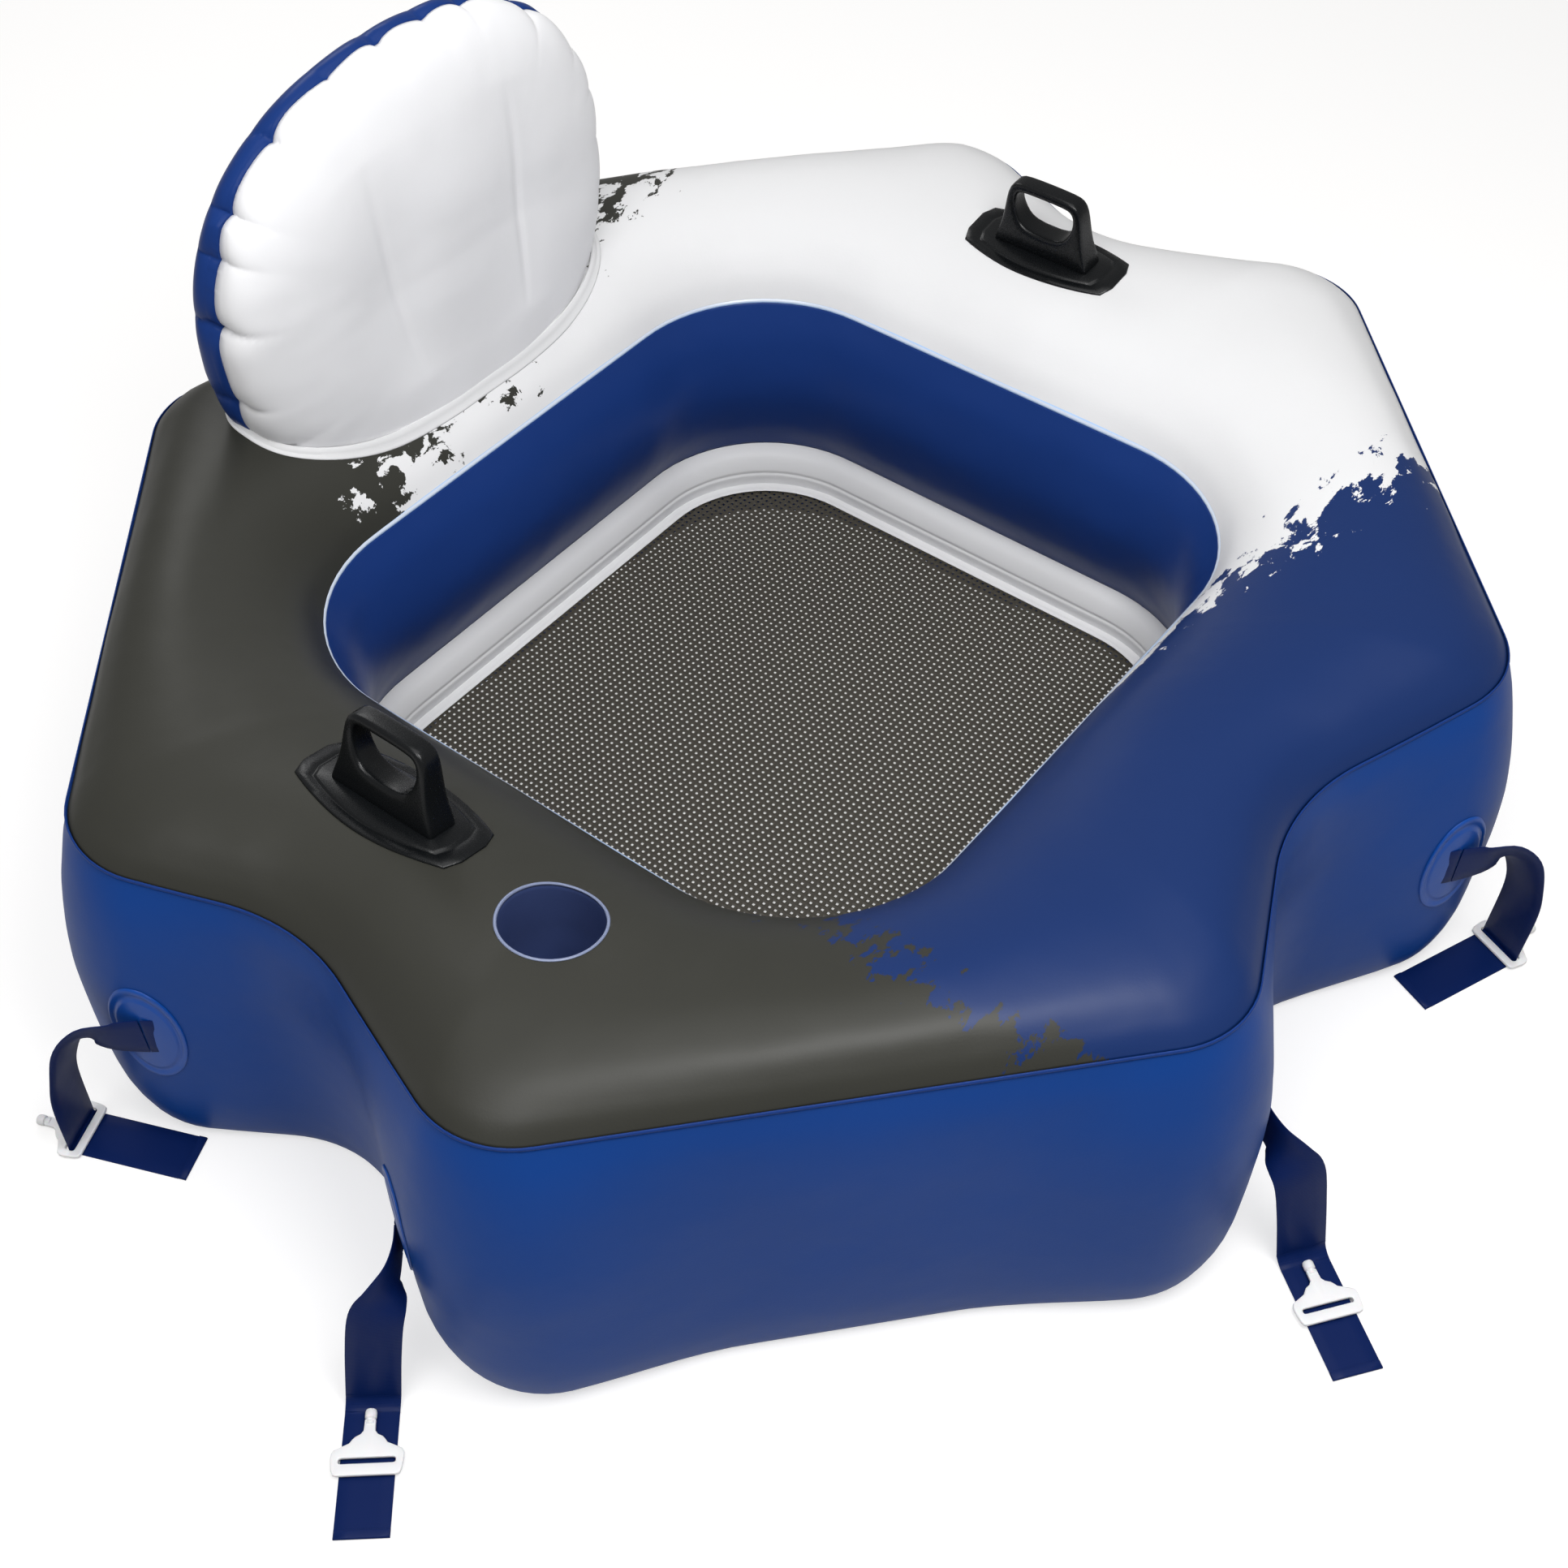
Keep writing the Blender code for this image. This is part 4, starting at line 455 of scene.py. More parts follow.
def round_rims(bm, offset):
    """Round the sharp rims of a plate."""
    bmesh.ops.recalc_face_normals(bm, faces=bm.faces)
    rims = [edge for edge in bm.edges if len(edge.link_faces) == 2 and edge.calc_face_angle() > RIM_ANGLE]
    bmesh.ops.bevel(bm, geom=rims, offset=offset, offset_type="OFFSET", segments=3, profile=0.5, affect="EDGES",
                    material=-1)


def add_turned(bm, profile, steps, turn):
    """Solid turned about +Z from a profile of radius and height, added to a mesh and put in place."""
    verts = [bm.verts.new((radius, 0.0, height)) for radius, height in profile]
    edges = [bm.edges.new(pair) for pair in zip(verts, verts[1:])]
    bmesh.ops.spin(bm, geom=verts + edges, cent=(0.0, 0.0, 0.0), axis=UP, dvec=(0.0, 0.0, 0.0), angle=FULL_TURN,
                   steps=steps, use_merge=True)
    grown = list(dict.fromkeys(vert for edge in edges if edge.is_valid for vert in edge.verts))
    found = set(grown)
    for vert in grown:
        for other in [edge.other_vert(vert) for edge in vert.link_edges]:
            if other not in found:
                found.add(other)
                grown.append(other)
    bmesh.ops.transform(bm, matrix=turn, verts=grown)
    bmesh.ops.remove_doubles(bm, verts=grown, dist=0.00002)


def add_piece(name, bm, finish, slot, nodes, thickness=0.0, body="float", levels=0, angle=40.0):
    """Object from a bmesh, riding on a body in place of its CAD nodes."""
    mesh = bpy.data.meshes.new(name)
    bm.to_mesh(mesh)
    bm.free()
    mesh.materials.append(finish_named(finish))
    mesh.shade_smooth()
    if angle:
        mesh.set_sharp_from_angle(angle=math.radians(angle))
    made = bpy.data.objects.new(name, mesh)
    bpy.context.scene.collection.objects.link(made)
    if thickness:
        solid = made.modifiers.new("Sheet", "SOLIDIFY")
        solid.thickness = thickness
        solid.offset = -1.0
    if levels:
        finer = made.modifiers.new("Finer", "SUBSURF")
        finer.levels = levels
        finer.render_levels = levels
    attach(made, body)
    if nodes:
        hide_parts(*nodes)
    return made


# Plan of the tube


def fillet(before, corner, after, radius, steps):
    """Points of the arc that rounds a corner, each with its outward direction."""
    to_before = (before - corner).normalized()
    to_after = (after - corner).normalized()
    half = to_before.angle(to_after) / 2.0
    first = corner + to_before * radius / math.tan(half)
    last = corner + to_after * radius / math.tan(half)
    centre = corner + (to_before + to_after).normalized() * radius / math.sin(half)
    side = math.copysign(1.0, (corner - before).cross(after - corner))
    start = math.atan2(first.y - centre.y, first.x - centre.x)
    finish = math.atan2(last.y - centre.y, last.x - centre.x)
    sweep = (finish - start + math.pi) % FULL_TURN - math.pi
    rays = [Vector((math.cos(start + sweep * step / steps), math.sin(start + sweep * step / steps)))
            for step in range(steps + 1)]
    return [(centre + ray * radius, ray * side) for ray in rays]


def outer_stations():
    """Points and outward directions round the top outer seam, anticlockwise from the front waist."""
    right = ((FRONT_CORNER, CORNER_ROUNDING), (SIDE_CORNER_FRONT, CORNER_ROUNDING), (SIDE_WAIST, WAIST_ROUNDING),
             (SIDE_CORNER_BACK, CORNER_ROUNDING), (BACK_CORNER, CORNER_ROUNDING))
    corners = ((FRONT_WAIST, WAIST_ROUNDING), *right, (BACK_WAIST, WAIST_ROUNDING),
               *((mirrored(corner), rounding) for corner, rounding in reversed(right)))
    arcs = [fillet(corners[index - 1][0], corner, corners[(index + 1) % len(corners)][0], *rounding)
            for index, (corner, rounding) in enumerate(corners)]
    stations = []
    for arc, following in zip(arcs, arcs[1:] + arcs[:1]):
        stations.extend(arc)
        start, direction = arc[-1]
        end = following[0][0]
        steps = max(2, round((end - start).length / STATION_STEP))
        stations.extend((mix(start, end, step / steps), direction) for step in range(1, steps))
    return stations


def opening_station(direction):
    """Point of the seat opening's edge along a direction from the middle, with its outward direction."""
    ray = direction.normalized()
    corner = OPENING_HALF - Vector((OPENING_RADIUS, OPENING_RADIUS))
    on_side = ray * (OPENING_HALF.x / max(abs(ray.x), FIT_GAP))
    if abs(on_side.y) <= corner.y:
        return on_side, Vector((math.copysign(1.0, ray.x), 0.0))
    on_end = ray * (OPENING_HALF.y / max(abs(ray.y), FIT_GAP))
    if abs(on_end.x) <= corner.x:
        return on_end, Vector((0.0, math.copysign(1.0, ray.y)))
    centre = Vector((math.copysign(corner.x, ray.x), math.copysign(corner.y, ray.y)))
    along = ray.dot(centre)
    point = ray * (along + math.sqrt(along * along - centre.length_squared + OPENING_RADIUS ** 2))
    return point, (point - centre).normalized()


def seam_height(point):
    """Height of the top outer seam, which dips at the four waists."""
    lateral = min(abs(point.y - SIDE_WAIST.y), abs(point.x))
    return TOP_SEAM_Z - WAIST_DROP * max(0.0, 1.0 - (lateral / WAIST_DROP_SPAN) ** 2)


def nearness(point, corners):
    """How near a plan point is to the nearest of some corners, from 0 to 1."""
    distance = min((Vector((abs(point.x), point.y)) - corner).length for corner in corners)
    return max(0.0, 1.0 - (distance / SPREAD_REACH) ** 2) ** 2


def wall_reach(point, swell, spread):
    """How far the outer wall stands out from the top outer seam at one row."""
    bulge = nearness(point, (FRONT_CORNER, SIDE_CORNER_FRONT, SIDE_CORNER_BACK, BACK_CORNER))
    tuck = nearness(point, (FRONT_WAIST, SIDE_WAIST, BACK_WAIST))
    return WALL_BULGE * swell + (CORNER_SPREAD * bulge - WAIST_TUCK * tuck) * spread


OUTER = outer_stations()
INNER = [opening_station(point) for point, _ in OUTER]


def stood(rings):
    """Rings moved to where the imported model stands."""
    return [[point + STAND for point in ring] for ring in rings]


def swept(stations, rows, level=lambda point: 0.0):
    """Rings round the tube from rows of outward distance and height above a level."""
    return stood([[raised(point + direction * out, level(point) + height) for point, direction in stations]
                  for out, height in rows])


def top_rings():
    """Rings of the top sheet, from the outer seam to the seat opening."""
    return stood([[raised(mix(inner, outer, across),
                          mix(INNER_SEAM_Z, seam_height(outer), across) + CROWN_RISE * rise)
                   for (outer, _), (inner, _) in zip(OUTER, INNER)] for across, rise in smoothed(TOP_ROWS, 40)])


def wall_rings():
    """Rings of the outer wall, from the bottom seam up to the top one."""
    return stood([[raised(outer + direction * wall_reach(outer, swell, spread),
                          mix(BOTTOM_SEAM_Z, seam_height(outer) - FIT_GAP, up)) for outer, direction in OUTER]
                  for up, swell, spread in smoothed(WALL_ROWS, 40)])


def well_rings():
    """Rings of the well's wall, from the opening's edge down to the seat ring."""
    return swept(INNER, [(-INNER_BULGE * swell, mix(RING_TOP_Z + FIT_GAP, INNER_SEAM_Z - FIT_GAP, up))
                         for up, swell in smoothed(INNER_ROWS, 30)])


def seat_ring_rings(groove):
    """Rings of the seat ring, with a groove along it, and of its flat hem."""
    slope = Vector((RING_IN, HEM_Z - RING_TOP_Z))
    outward = Vector((-slope.y, slope.x)).normalized()
    rows = []
    for share, swell in smoothed(RING_ROWS, 44):
        dent = groove * math.exp(-((share - GROOVE_PLACE) / GROOVE_WIDTH) ** 2)
        place = slope * share + outward * (RING_SWELL * swell - dent)
        rows.append((-place.x, RING_TOP_Z + place.y))
    return swept(INNER, rows + [(-inward, HEM_Z - drop) for inward, drop in HEM_ROWS])


def bottom_rings():
    """Rings of the bottom sheet, from the seat ring out to the wall."""
    rings = [[] for _ in range(len(BOTTOM_ROWS) + 1)]
    for (outer, outer_direction), (inner, inner_direction) in zip(OUTER, INNER):
        inner_edge = inner - inner_direction * RING_IN
        seam = outer + outer_direction * (wall_reach(outer, *WALL_ROWS[0][1:]) - FIT_GAP)
        flat_edge = seam - outer_direction * BOTTOM_FLAT_IN
        for ring, (share, height) in zip(rings, BOTTOM_ROWS):
            ring.append(raised(mix(inner_edge, flat_edge, share), height))
        rings[-1].append(raised(seam, BOTTOM_SEAM_Z - FIT_GAP))
    return stood(rings)


def wave(point, height):
    """Slow waves of a filled panel at a point."""
    slow, quick = WAVE_RATES
    return height * (noise.noise(point * slow) + 0.5 * noise.noise(point * quick + WAVE_SHIFT))


def seam_folds(point, distance, height):
    """Small folds that run in from a weld, at a point and its distance from the weld."""
    folds = height * noise.noise(raised(point, 0.0) * FOLD_RATE)
    return folds * math.exp(-distance / FOLD_REACH) * (1.0 - math.exp(-distance / FOLD_START))


def top_wave(point, sizes):
    """Waves and folds of the top sheet, which fade at its welds."""
    place = (point - STAND).xy
    distance = (place - opening_station(place)[0]).length
    seam = clamped((point.z - TOP_SEAM_Z + TOP_FADE) / TOP_SEAM_FADE) if distance > TOP_INNER_ZONE else 1.0
    return (wave(point, sizes.wave) + seam_folds(point, distance, sizes.pucker)) \
        * min(1.0, distance / TOP_FADE) * seam


def wall_wave(point, sizes):
    """Waves and folds of the outer wall, which fade at its welds."""
    share = (point.z - BOTTOM_SEAM_Z) / (TOP_SEAM_Z - BOTTOM_SEAM_Z)
    distance = max(0.0, (WALL_FOLD_TOP - share) * WALL_FOLD_HEIGHT)
    return (wave(point, sizes.wave) + seam_folds(point, distance, sizes.pucker * WALL_PUCKER)) \
        * clamped(min(share, WALL_WAVE_TOP - share) / WALL_WAVE_FADE)


def well_wave(point, sizes):
    """Waves of the well's wall, which fade at its welds."""
    share = (point.z - RING_TOP_Z) / (INNER_SEAM_Z - RING_TOP_Z)
    return wave(point * WELL_WAVE_RATE, sizes.wave) * clamped(min(share, 1.0 - share) / WELL_WAVE_FADE)


# Materials


def add_node(tree, kind, settings=None, links=None):
    """Node with its settings, by attribute or socket, and its links, from a socket or a node's first output."""
    made = tree.nodes.new("ShaderNode" + kind)
    for name, value in (settings or {}).items():
        if isinstance(name, str) and hasattr(made, name):
            setattr(made, name, value)
        else:
            made.inputs[name].default_value = value
    for name, source in (links or {}).items():
        tree.links.new(source if isinstance(source, bpy.types.NodeSocket) else source.outputs[0], made.inputs[name])
    return made


def add_ramp(tree, source, stops):
    """Colour ramp through stops of place and grey or colour."""
    made = add_node(tree, "ValToRGB", links={"Fac": source})
    ramp = made.color_ramp
    while len(ramp.elements) < len(stops):
        ramp.elements.new(0.5)
    for element, (place, value) in zip(ramp.elements, stops):
        element.position = place
        element.color = (value, value, value, 1.0) if isinstance(value, float) else (*value, 1.0)
    return made.outputs["Color"]


def new_material(name, settings):
    """Material with its tree, its Principled shader and its coordinates."""
    made = bpy.data.materials.new(name)
    made.use_nodes = True
    shader = made.node_tree.nodes["Principled BSDF"]
    for socket, value in settings.items():
        shader.inputs[socket].default_value = value
    return made, made.node_tree, shader, add_node(made.node_tree, "TexCoord").outputs["Object"]


def bump(tree, shader, height, strength, distance):
    """Join a height to a shader's normal."""
    made = add_node(tree, "Bump", {"Strength": strength, "Distance": distance}, {"Height": height})
    tree.links.new(made.outputs["Normal"], shader.inputs["Normal"])


def sheet_bump(tree, shader, where):
    """Surface of calendered PVC sheet: slow slack waves of 70 mm and a grain of 2 mm that barely shows."""
    slack = add_node(tree, "TexNoise", {"Scale": 14.0, "Detail": 2.0, "Roughness": 0.45}, {"Vector": where})
    grain = add_node(tree, "TexNoise", {"Scale": 480.0, "Detail": 1.0}, {"Vector": where})
    height = add_node(tree, "Math", {"operation": "MULTIPLY_ADD", 1: 0.035}, {0: grain, 2: slack})
    bump(tree, shader, height, 0.35, 0.004)


def dyed_pvc(name, base, roughness, gloss):
    """Calendered PVC sheet dyed through: even colour with a soft gloss that the slack waves break up."""
    made, tree, shader, where = new_material(name, {
        "Roughness": roughness, "IOR": 1.53, "Specular IOR Level": gloss})
    tone = add_node(tree, "TexNoise", {"Scale": 5.0, "Detail": 2.0}, {"Vector": where})
    shade = add_ramp(tree, tone, ((0.35, 0.93), (0.65, 1.0)))
    tinted = add_node(tree, "Mix", {"data_type": "RGBA", "blend_type": "MULTIPLY", "Factor": 1.0, 6: (*base, 1.0)},
                      {7: shade})
    tree.links.new(tinted.outputs[2], shader.inputs["Base Color"])
    sheet_bump(tree, shader, where)
    return made


# Edges of the printed zones: turn about the middle in radians at a distance from it, and place in Y at a place in X
FRONT_RIGHT_EDGE = ((0.30, -2.56), (0.39, -2.49), (0.47, -2.37), (0.55, -2.27), (0.61, -2.11), (0.70, -2.06))
FRONT_LEFT_EDGE = ((0.30, -1.62), (0.34, -1.32), (0.375, -1.11), (0.434, -1.00), (0.50, -0.89), (0.58, -0.80))
BACK_EDGE = ((-0.40, -0.25), (-0.27, 0.02), (-0.205, 0.315), (-0.12, 0.342), (-0.045, 0.360), (0.10, 0.392),
             (0.21, 0.416), (0.347, 0.428), (0.50, 0.50), (0.65, 0.60))
EDGE_LIMIT = 3.0
INK_SPREAD = 0.31
INK_SHARPNESS = 300.0


def edge_mask(tree, along, across, points, flecks, reach=None):
    """1 past a printed edge of points along and across, broken up by flecks; reach turns angles into lengths."""
    low, high = points[0][0], points[-1][0]
    share = add_node(tree, "MapRange", {"From Min": low, "From Max": high}, {"Value": along})
    curve = add_node(tree, "FloatCurve", links={"Value": share})
    places = [((step - low) / (high - low), (level / EDGE_LIMIT + 1.0) / 2.0) for step, level in points]
    line = curve.mapping.curves[0]
    line.points[0].location, line.points[1].location = places[0], places[-1]
    for place in places[1:-1]:
        line.points.new(*place)
    for point in line.points:
        point.handle_type = "VECTOR"
    curve.mapping.update()
    edge = add_node(tree, "Math", {"operation": "MULTIPLY_ADD", 1: 2.0 * EDGE_LIMIT, 2: -EDGE_LIMIT}, {0: curve})
    past = add_node(tree, "Math", {"operation": "SUBTRACT"}, {0: across, 1: edge})
    if reach:
        past = add_node(tree, "Math", {"operation": "MULTIPLY"}, {0: past, 1: reach})
    broken = add_node(tree, "Math", {"operation": "MULTIPLY_ADD", 1: INK_SPREAD}, {0: flecks, 2: past})
    sharp = add_node(tree, "Math", {"operation": "MULTIPLY_ADD", 1: INK_SHARPNESS, 2: 0.5}, {0: broken})
    return add_ramp(tree, sharp, ((0.0, 0.0), (1.0, 1.0)))


def brush_flecks(tree, flat):
    """Flecks of a dry brush, about 30 mm long and 15 mm wide, around 0."""
    strokes = add_node(tree, "Mapping", {"Rotation": (0.0, 0.0, -0.3), "Scale": (25.0, 46.0, 0.0)}, {"Vector": flat})
    brush = add_node(tree, "TexNoise", {"Scale": 1.0, "Detail": 6.0, "Roughness": 0.66, "Distortion": 0.3},
                     {"Vector": strokes})
    return add_node(tree, "Math", {"operation": "SUBTRACT", 1: 0.5}, {0: brush})


def printed_pvc(colours):
    """PVC sheet printed in two solid inks, whose zones end in dry-brush edges, over the white sheet."""
    made, tree, shader, where = new_material("printed_pvc_sheet", {
        "Roughness": 0.42, "IOR": 1.53, "Specular IOR Level": 0.25})
    centred = add_node(tree, "VectorMath", {"operation": "SUBTRACT", 1: STAND}, {0: where})
    axes = add_node(tree, "SeparateXYZ", links={0: centred})
    across, forth = axes.outputs["X"], axes.outputs["Y"]
    turn = add_node(tree, "Math", {"operation": "ARCTAN2"}, {0: forth, 1: across})
    flat = add_node(tree, "CombineXYZ", links={"X": across, "Y": forth})
    reach = add_node(tree, "VectorMath", {"operation": "LENGTH"}, {0: flat}).outputs["Value"]
    flecks = brush_flecks(tree, flat)
    ink = (*colours.charcoal, 1.0)
    for over, mask in ((colours.navy_print, edge_mask(tree, reach, turn, FRONT_RIGHT_EDGE, flecks, reach)),
                       (colours.white, edge_mask(tree, reach, turn, FRONT_LEFT_EDGE, flecks, reach)),
                       (colours.charcoal, edge_mask(tree, across, forth, BACK_EDGE, flecks))):
        layer = add_node(tree, "Mix", {"data_type": "RGBA", 7: (*over, 1.0)}, {"Factor": mask})
        if isinstance(ink, tuple):
            layer.inputs[6].default_value = ink
        else:
            tree.links.new(ink, layer.inputs[6])
        ink = layer.outputs[2]
    tree.links.new(ink, shader.inputs["Base Color"])
    sheet_bump(tree, shader, where)
    return made


def weld_bead(colours):
    """Weld of clear PVC over white sheet: two pale blue lines along its edges, from its UV map."""
    made, tree, shader, where = new_material("clear_pvc_weld", {"Roughness": 0.25, "IOR": 1.53})
    axes = add_node(tree, "SeparateXYZ", links={0: where.node.outputs["UV"]})
    pale = mix(Vector(colours.weld), Vector(colours.white), 0.6)
    lines = add_ramp(tree, axes.outputs["Y"], ((0.0, colours.navy), (0.10, colours.weld), (0.27, colours.weld),
                                               (0.34, pale), (0.66, pale), (0.74, colours.weld),
                                               (0.92, colours.weld), (1.0, colours.navy)))
    tree.links.new(lines, shader.inputs["Base Color"])
    return made


def coated_mesh(name, base):
    """Polyester mesh coated in soft PVC: dull strands with a faint rib of 1.5 mm, drawn coarse enough to show."""
    made, tree, shader, where = new_material(name, {"Roughness": 0.55, "Base Color": base})
    ribs = add_node(tree, "TexWave", {"bands_direction": "DIAGONAL", "Scale": 330.0, "Distortion": 0.4},
                    {"Vector": where})
    bump(tree, shader, ribs.outputs["Fac"], 0.25, 0.0004)
    return made


def coated_webbing(name, base):
    """Webbing coated in PVC: smooth and slightly shiny, with a faint weave of 1.4 mm across it and welded edges."""
    made, tree, shader, where = new_material(name, {
        "Roughness": 0.42, "Specular IOR Level": 0.10, "Base Color": base})
    weave = add_node(tree, "TexWave", {"bands_direction": "Z", "Scale": 220.0, "Distortion": 1.0},
                     {"Vector": where})
    slack = add_node(tree, "TexNoise", {"Scale": 40.0}, {"Vector": where})
    height = add_node(tree, "Math", {"operation": "MULTIPLY_ADD", 1: 0.15}, {0: weave.outputs["Fac"], 2: slack})
    bump(tree, shader, height, 0.25, 0.0012)
    return made


def moulded(name, base, settings, scale, detail, strength, distance):
    """Moulded plastic whose skin has a fine grain of a noise, by its scale, detail, strength and height."""
    made, tree, shader, where = new_material(name, {"Base Color": base, **settings})
    grain = add_node(tree, "TexNoise", {"Scale": scale, "Detail": detail}, {"Vector": where})
    bump(tree, shader, grain, strength, distance)
    return made, tree, shader, grain


def moulded_pvc(name, base):
    """Injection-moulded PVC: a satin skin with a fine spark-eroded texture, in whose hollows it is duller."""
    settings = {"Roughness": 0.26, "IOR": 1.53, "Specular IOR Level": 0.28}
    made, tree, shader, grain = moulded(name, base, settings, 900.0, 2.0, 0.15, 0.0004)
    tree.links.new(add_ramp(tree, grain, ((0.3, 0.21), (0.7, 0.33))), shader.inputs["Roughness"])
    return made


def moulded_acetal(name, base):
    """Injection-moulded acetal: hard, white and slightly waxy, with a trace of light inside."""
    settings = {"Roughness": 0.30, "IOR": 1.48, "Subsurface Weight": 0.08, "Subsurface Scale": 0.002}
    return moulded(name, base, settings, 120.0, 1.0, 0.10, 0.0005)[0]


def valve_pvc(name, base):
    """Moulded soft PVC of a valve: cloudy, pale and glossy."""
    return moulded(name, base, {"Roughness": 0.22, "IOR": 1.53}, 150.0, 2.0, 0.12, 0.0005)[0]


# Dyed sheets: colour, roughness and gloss. Other finishes of one colour: maker and colour
# The cup's finish is the navy sheet drawn lighter and greyer: painted light inside its recess.
DYED = {"royal_blue_pvc": ("royal", 0.42, 0.13), "cup_pvc": ("cup", 0.30, 0.30), "navy_pvc": ("navy", 0.32, 0.08),
        "cup_weld_pvc": ("cup_weld", 0.25, 0.40), "patch_pvc": ("patch", 0.36, 0.30),
        "white_pvc": ("white", 0.42, 0.20), "bright_white_pvc": ("backrest", 0.45, 0.16)}
PLAIN = {"coated_polyester_mesh": (coated_mesh, "mesh"), "moulded_black_pvc": (moulded_pvc, "black"),
         "coated_webbing": (coated_webbing, "webbing"), "moulded_acetal": (moulded_acetal, "plastic"),
         "valve_pvc": (valve_pvc, "valve")}


def finish_named(name):
    """Finish by name, made on its first use."""
    if name in bpy.data.materials:
        return bpy.data.materials[name]
    colours = bpy.context.scene.lounger_colours
    if name in DYED:
        shade, roughness, gloss = DYED[name]
        return dyed_pvc(name, getattr(colours, shade), roughness, gloss)
    if name in PLAIN:
        maker, shade = PLAIN[name]
        return maker(name, (*getattr(colours, shade), 1.0))
    return {"printed_pvc_sheet": printed_pvc, "clear_pvc_weld": weld_bead}[name](colours)


# Tube and seat


TREES = {}


def top_height(plan_point):
    """Point and normal of the top sheet over a plan point."""
    return TREES["top"].ray_cast(raised(plan_point, 1.0), -UP)[:2]


def on_top(points, rise):
    """Ring of plan points laid on the top sheet, higher by rise."""
    return [raised(point, top_height(point)[0].z + rise) for point in points]


def build_panels(sizes):
    """Top sheet, outer wall, well wall and bottom of the air tube."""
    middle = raised((0.0, 0.0), 0.15)
    top = ripple(face_from(loft(top_rings()), UP * -10.0), lambda point: top_wave(point, sizes))
    TREES["top"] = BVHTree.FromBMesh(top)
    cut_round_hole(top, CUP_CENTRE, CUP_HOLE)
    add_piece("tube_top", top, "printed_pvc_sheet", "printed_vinyl", ["top_sheet"], sizes.sheet)
    wall = ripple(face_from(loft(wall_rings()), middle), lambda point: wall_wave(point, sizes))
    TREES["wall"] = BVHTree.FromBMesh(wall)
    add_piece("tube_wall", wall, "royal_blue_pvc", "royal_blue_vinyl", ["outer_wall"], sizes.sheet)
    well = ripple(face_from(loft(well_rings()), middle, towards=True), lambda point: well_wave(point, sizes))
    add_piece("well_wall", well, "navy_pvc", "navy_vinyl", ["inner_wall"], sizes.sheet)
    bottom = face_from(loft(bottom_rings()), UP * 10.0)
    add_piece("tube_bottom", bottom, "royal_blue_pvc", "royal_blue_vinyl", ["bottom_sheet"], sizes.sheet)


def build_welds(sizes):
    """Beads where the top sheet is welded to the outer wall and round the seat opening."""
    out, half_width, half_height = OUTER_WELD
    turns = [math.pi * (step / 8.0 - 0.5) for step in range(9)]
    rows = [(out + half_width * math.cos(turn), half_height * math.sin(turn)) for turn in turns]
    bead = face_from(loft(swept(OUTER, rows, seam_height)), raised((0.0, 0.0), 0.15))
    # Painted shade: the outer weld bead is of the royal blue wall sheet but takes the navy finish, a dark line
    # standing in for the shade along the top seam.
    add_piece("outer_weld_painted_shade", bead, "navy_pvc", "royal_blue_vinyl", [], sizes.sheet)
    half = sizes.weld_width / 2.0
    rows = [(-half * inward, INNER_SEAM_Z + rise + max(0.0, -half * inward) * WELD_SLOPE)
            for inward, rise in WELD_ROWS]
    add_piece("opening_weld", face_from(loft(swept(INNER, rows)), UP * -10.0), "clear_pvc_weld", "pale_weld", [],
              sizes.sheet)


class LOUNGER_OT_tube(bpy.types.Operator):
    """Build the welded panels of the air tube"""
    bl_idname = "lounger.tube"
    bl_label = "Air tube"
    bl_options = {"REGISTER", "UNDO"}

    def execute(self, context):
        build_panels(context.scene.lounger_tube)
        build_welds(context.scene.lounger_tube)
        return {"FINISHED"}


def mesh_net(sizes, half, radius):
    """Net of square holes with rounded corners, which hangs a little in its middle."""
    net = bmesh.new()
    counts = [round(2.0 * size / sizes.mesh_pitch) for size in half]
    bmesh.ops.create_grid(net, x_segments=counts[0], y_segments=counts[1], size=1.0)
    bmesh.ops.scale(net, vec=(half.x, half.y, 1.0), verts=net.verts)
    outside = []
    for face in net.faces:
        centre = face.calc_center_median()
        over = Vector((abs(centre.x) - half.x + radius, abs(centre.y) - half.y + radius))
        if min(over) > 0.0 and over.length > radius - sizes.mesh_pitch * 0.4:
            outside.append(face)
    bmesh.ops.delete(net, geom=outside, context="FACES")
    cells = list(net.faces)
    bmesh.ops.inset_individual(net, faces=cells, thickness=sizes.mesh_strand / 2.0, use_even_offset=True)
    bmesh.ops.delete(net, geom=cells, context="FACES")
    for vert in net.verts:
        spread = max(abs(vert.co.x / half.x), abs(vert.co.y / half.y))
        vert.co.z = HEM_Z - MESH_DROP - sizes.mesh_sag * (1.0 - spread ** 2)
        vert.co += STAND
    net.normal_update()
    return net


class LOUNGER_OT_seat(bpy.types.Operator):
    """Build the seat ring with its hem, and the seat mesh"""
    bl_idname = "lounger.seat"
    bl_label = "Seat"
    bl_options = {"REGISTER", "UNDO"}

    def execute(self, context):
        sizes = context.scene.lounger_tube
        ring = face_from(loft(seat_ring_rings(sizes.groove)), raised((0.0, 0.0), 0.2), towards=True)
        add_piece("seat_ring_sheet", ring, "white_pvc", "white_vinyl", ["seat_ring", "mesh_hem"], sizes.sheet)
        half = OPENING_HALF - Vector((MESH_EDGE_IN, MESH_EDGE_IN))
        radius = OPENING_RADIUS - MESH_EDGE_IN
        net = add_piece("seat_mesh", mesh_net(sizes, half, radius), "coated_polyester_mesh", "mesh_fabric",
                        ["mesh_floor"], MESH_THICKNESS)
        return {"FINISHED"}


def circle(centre, radius, count):
    """Plan points of a circle."""
    turn = FULL_TURN / count
    return [Vector((centre.x + radius * math.cos(turn * step), centre.y + radius * math.sin(turn * step)))
            for step in range(count)]


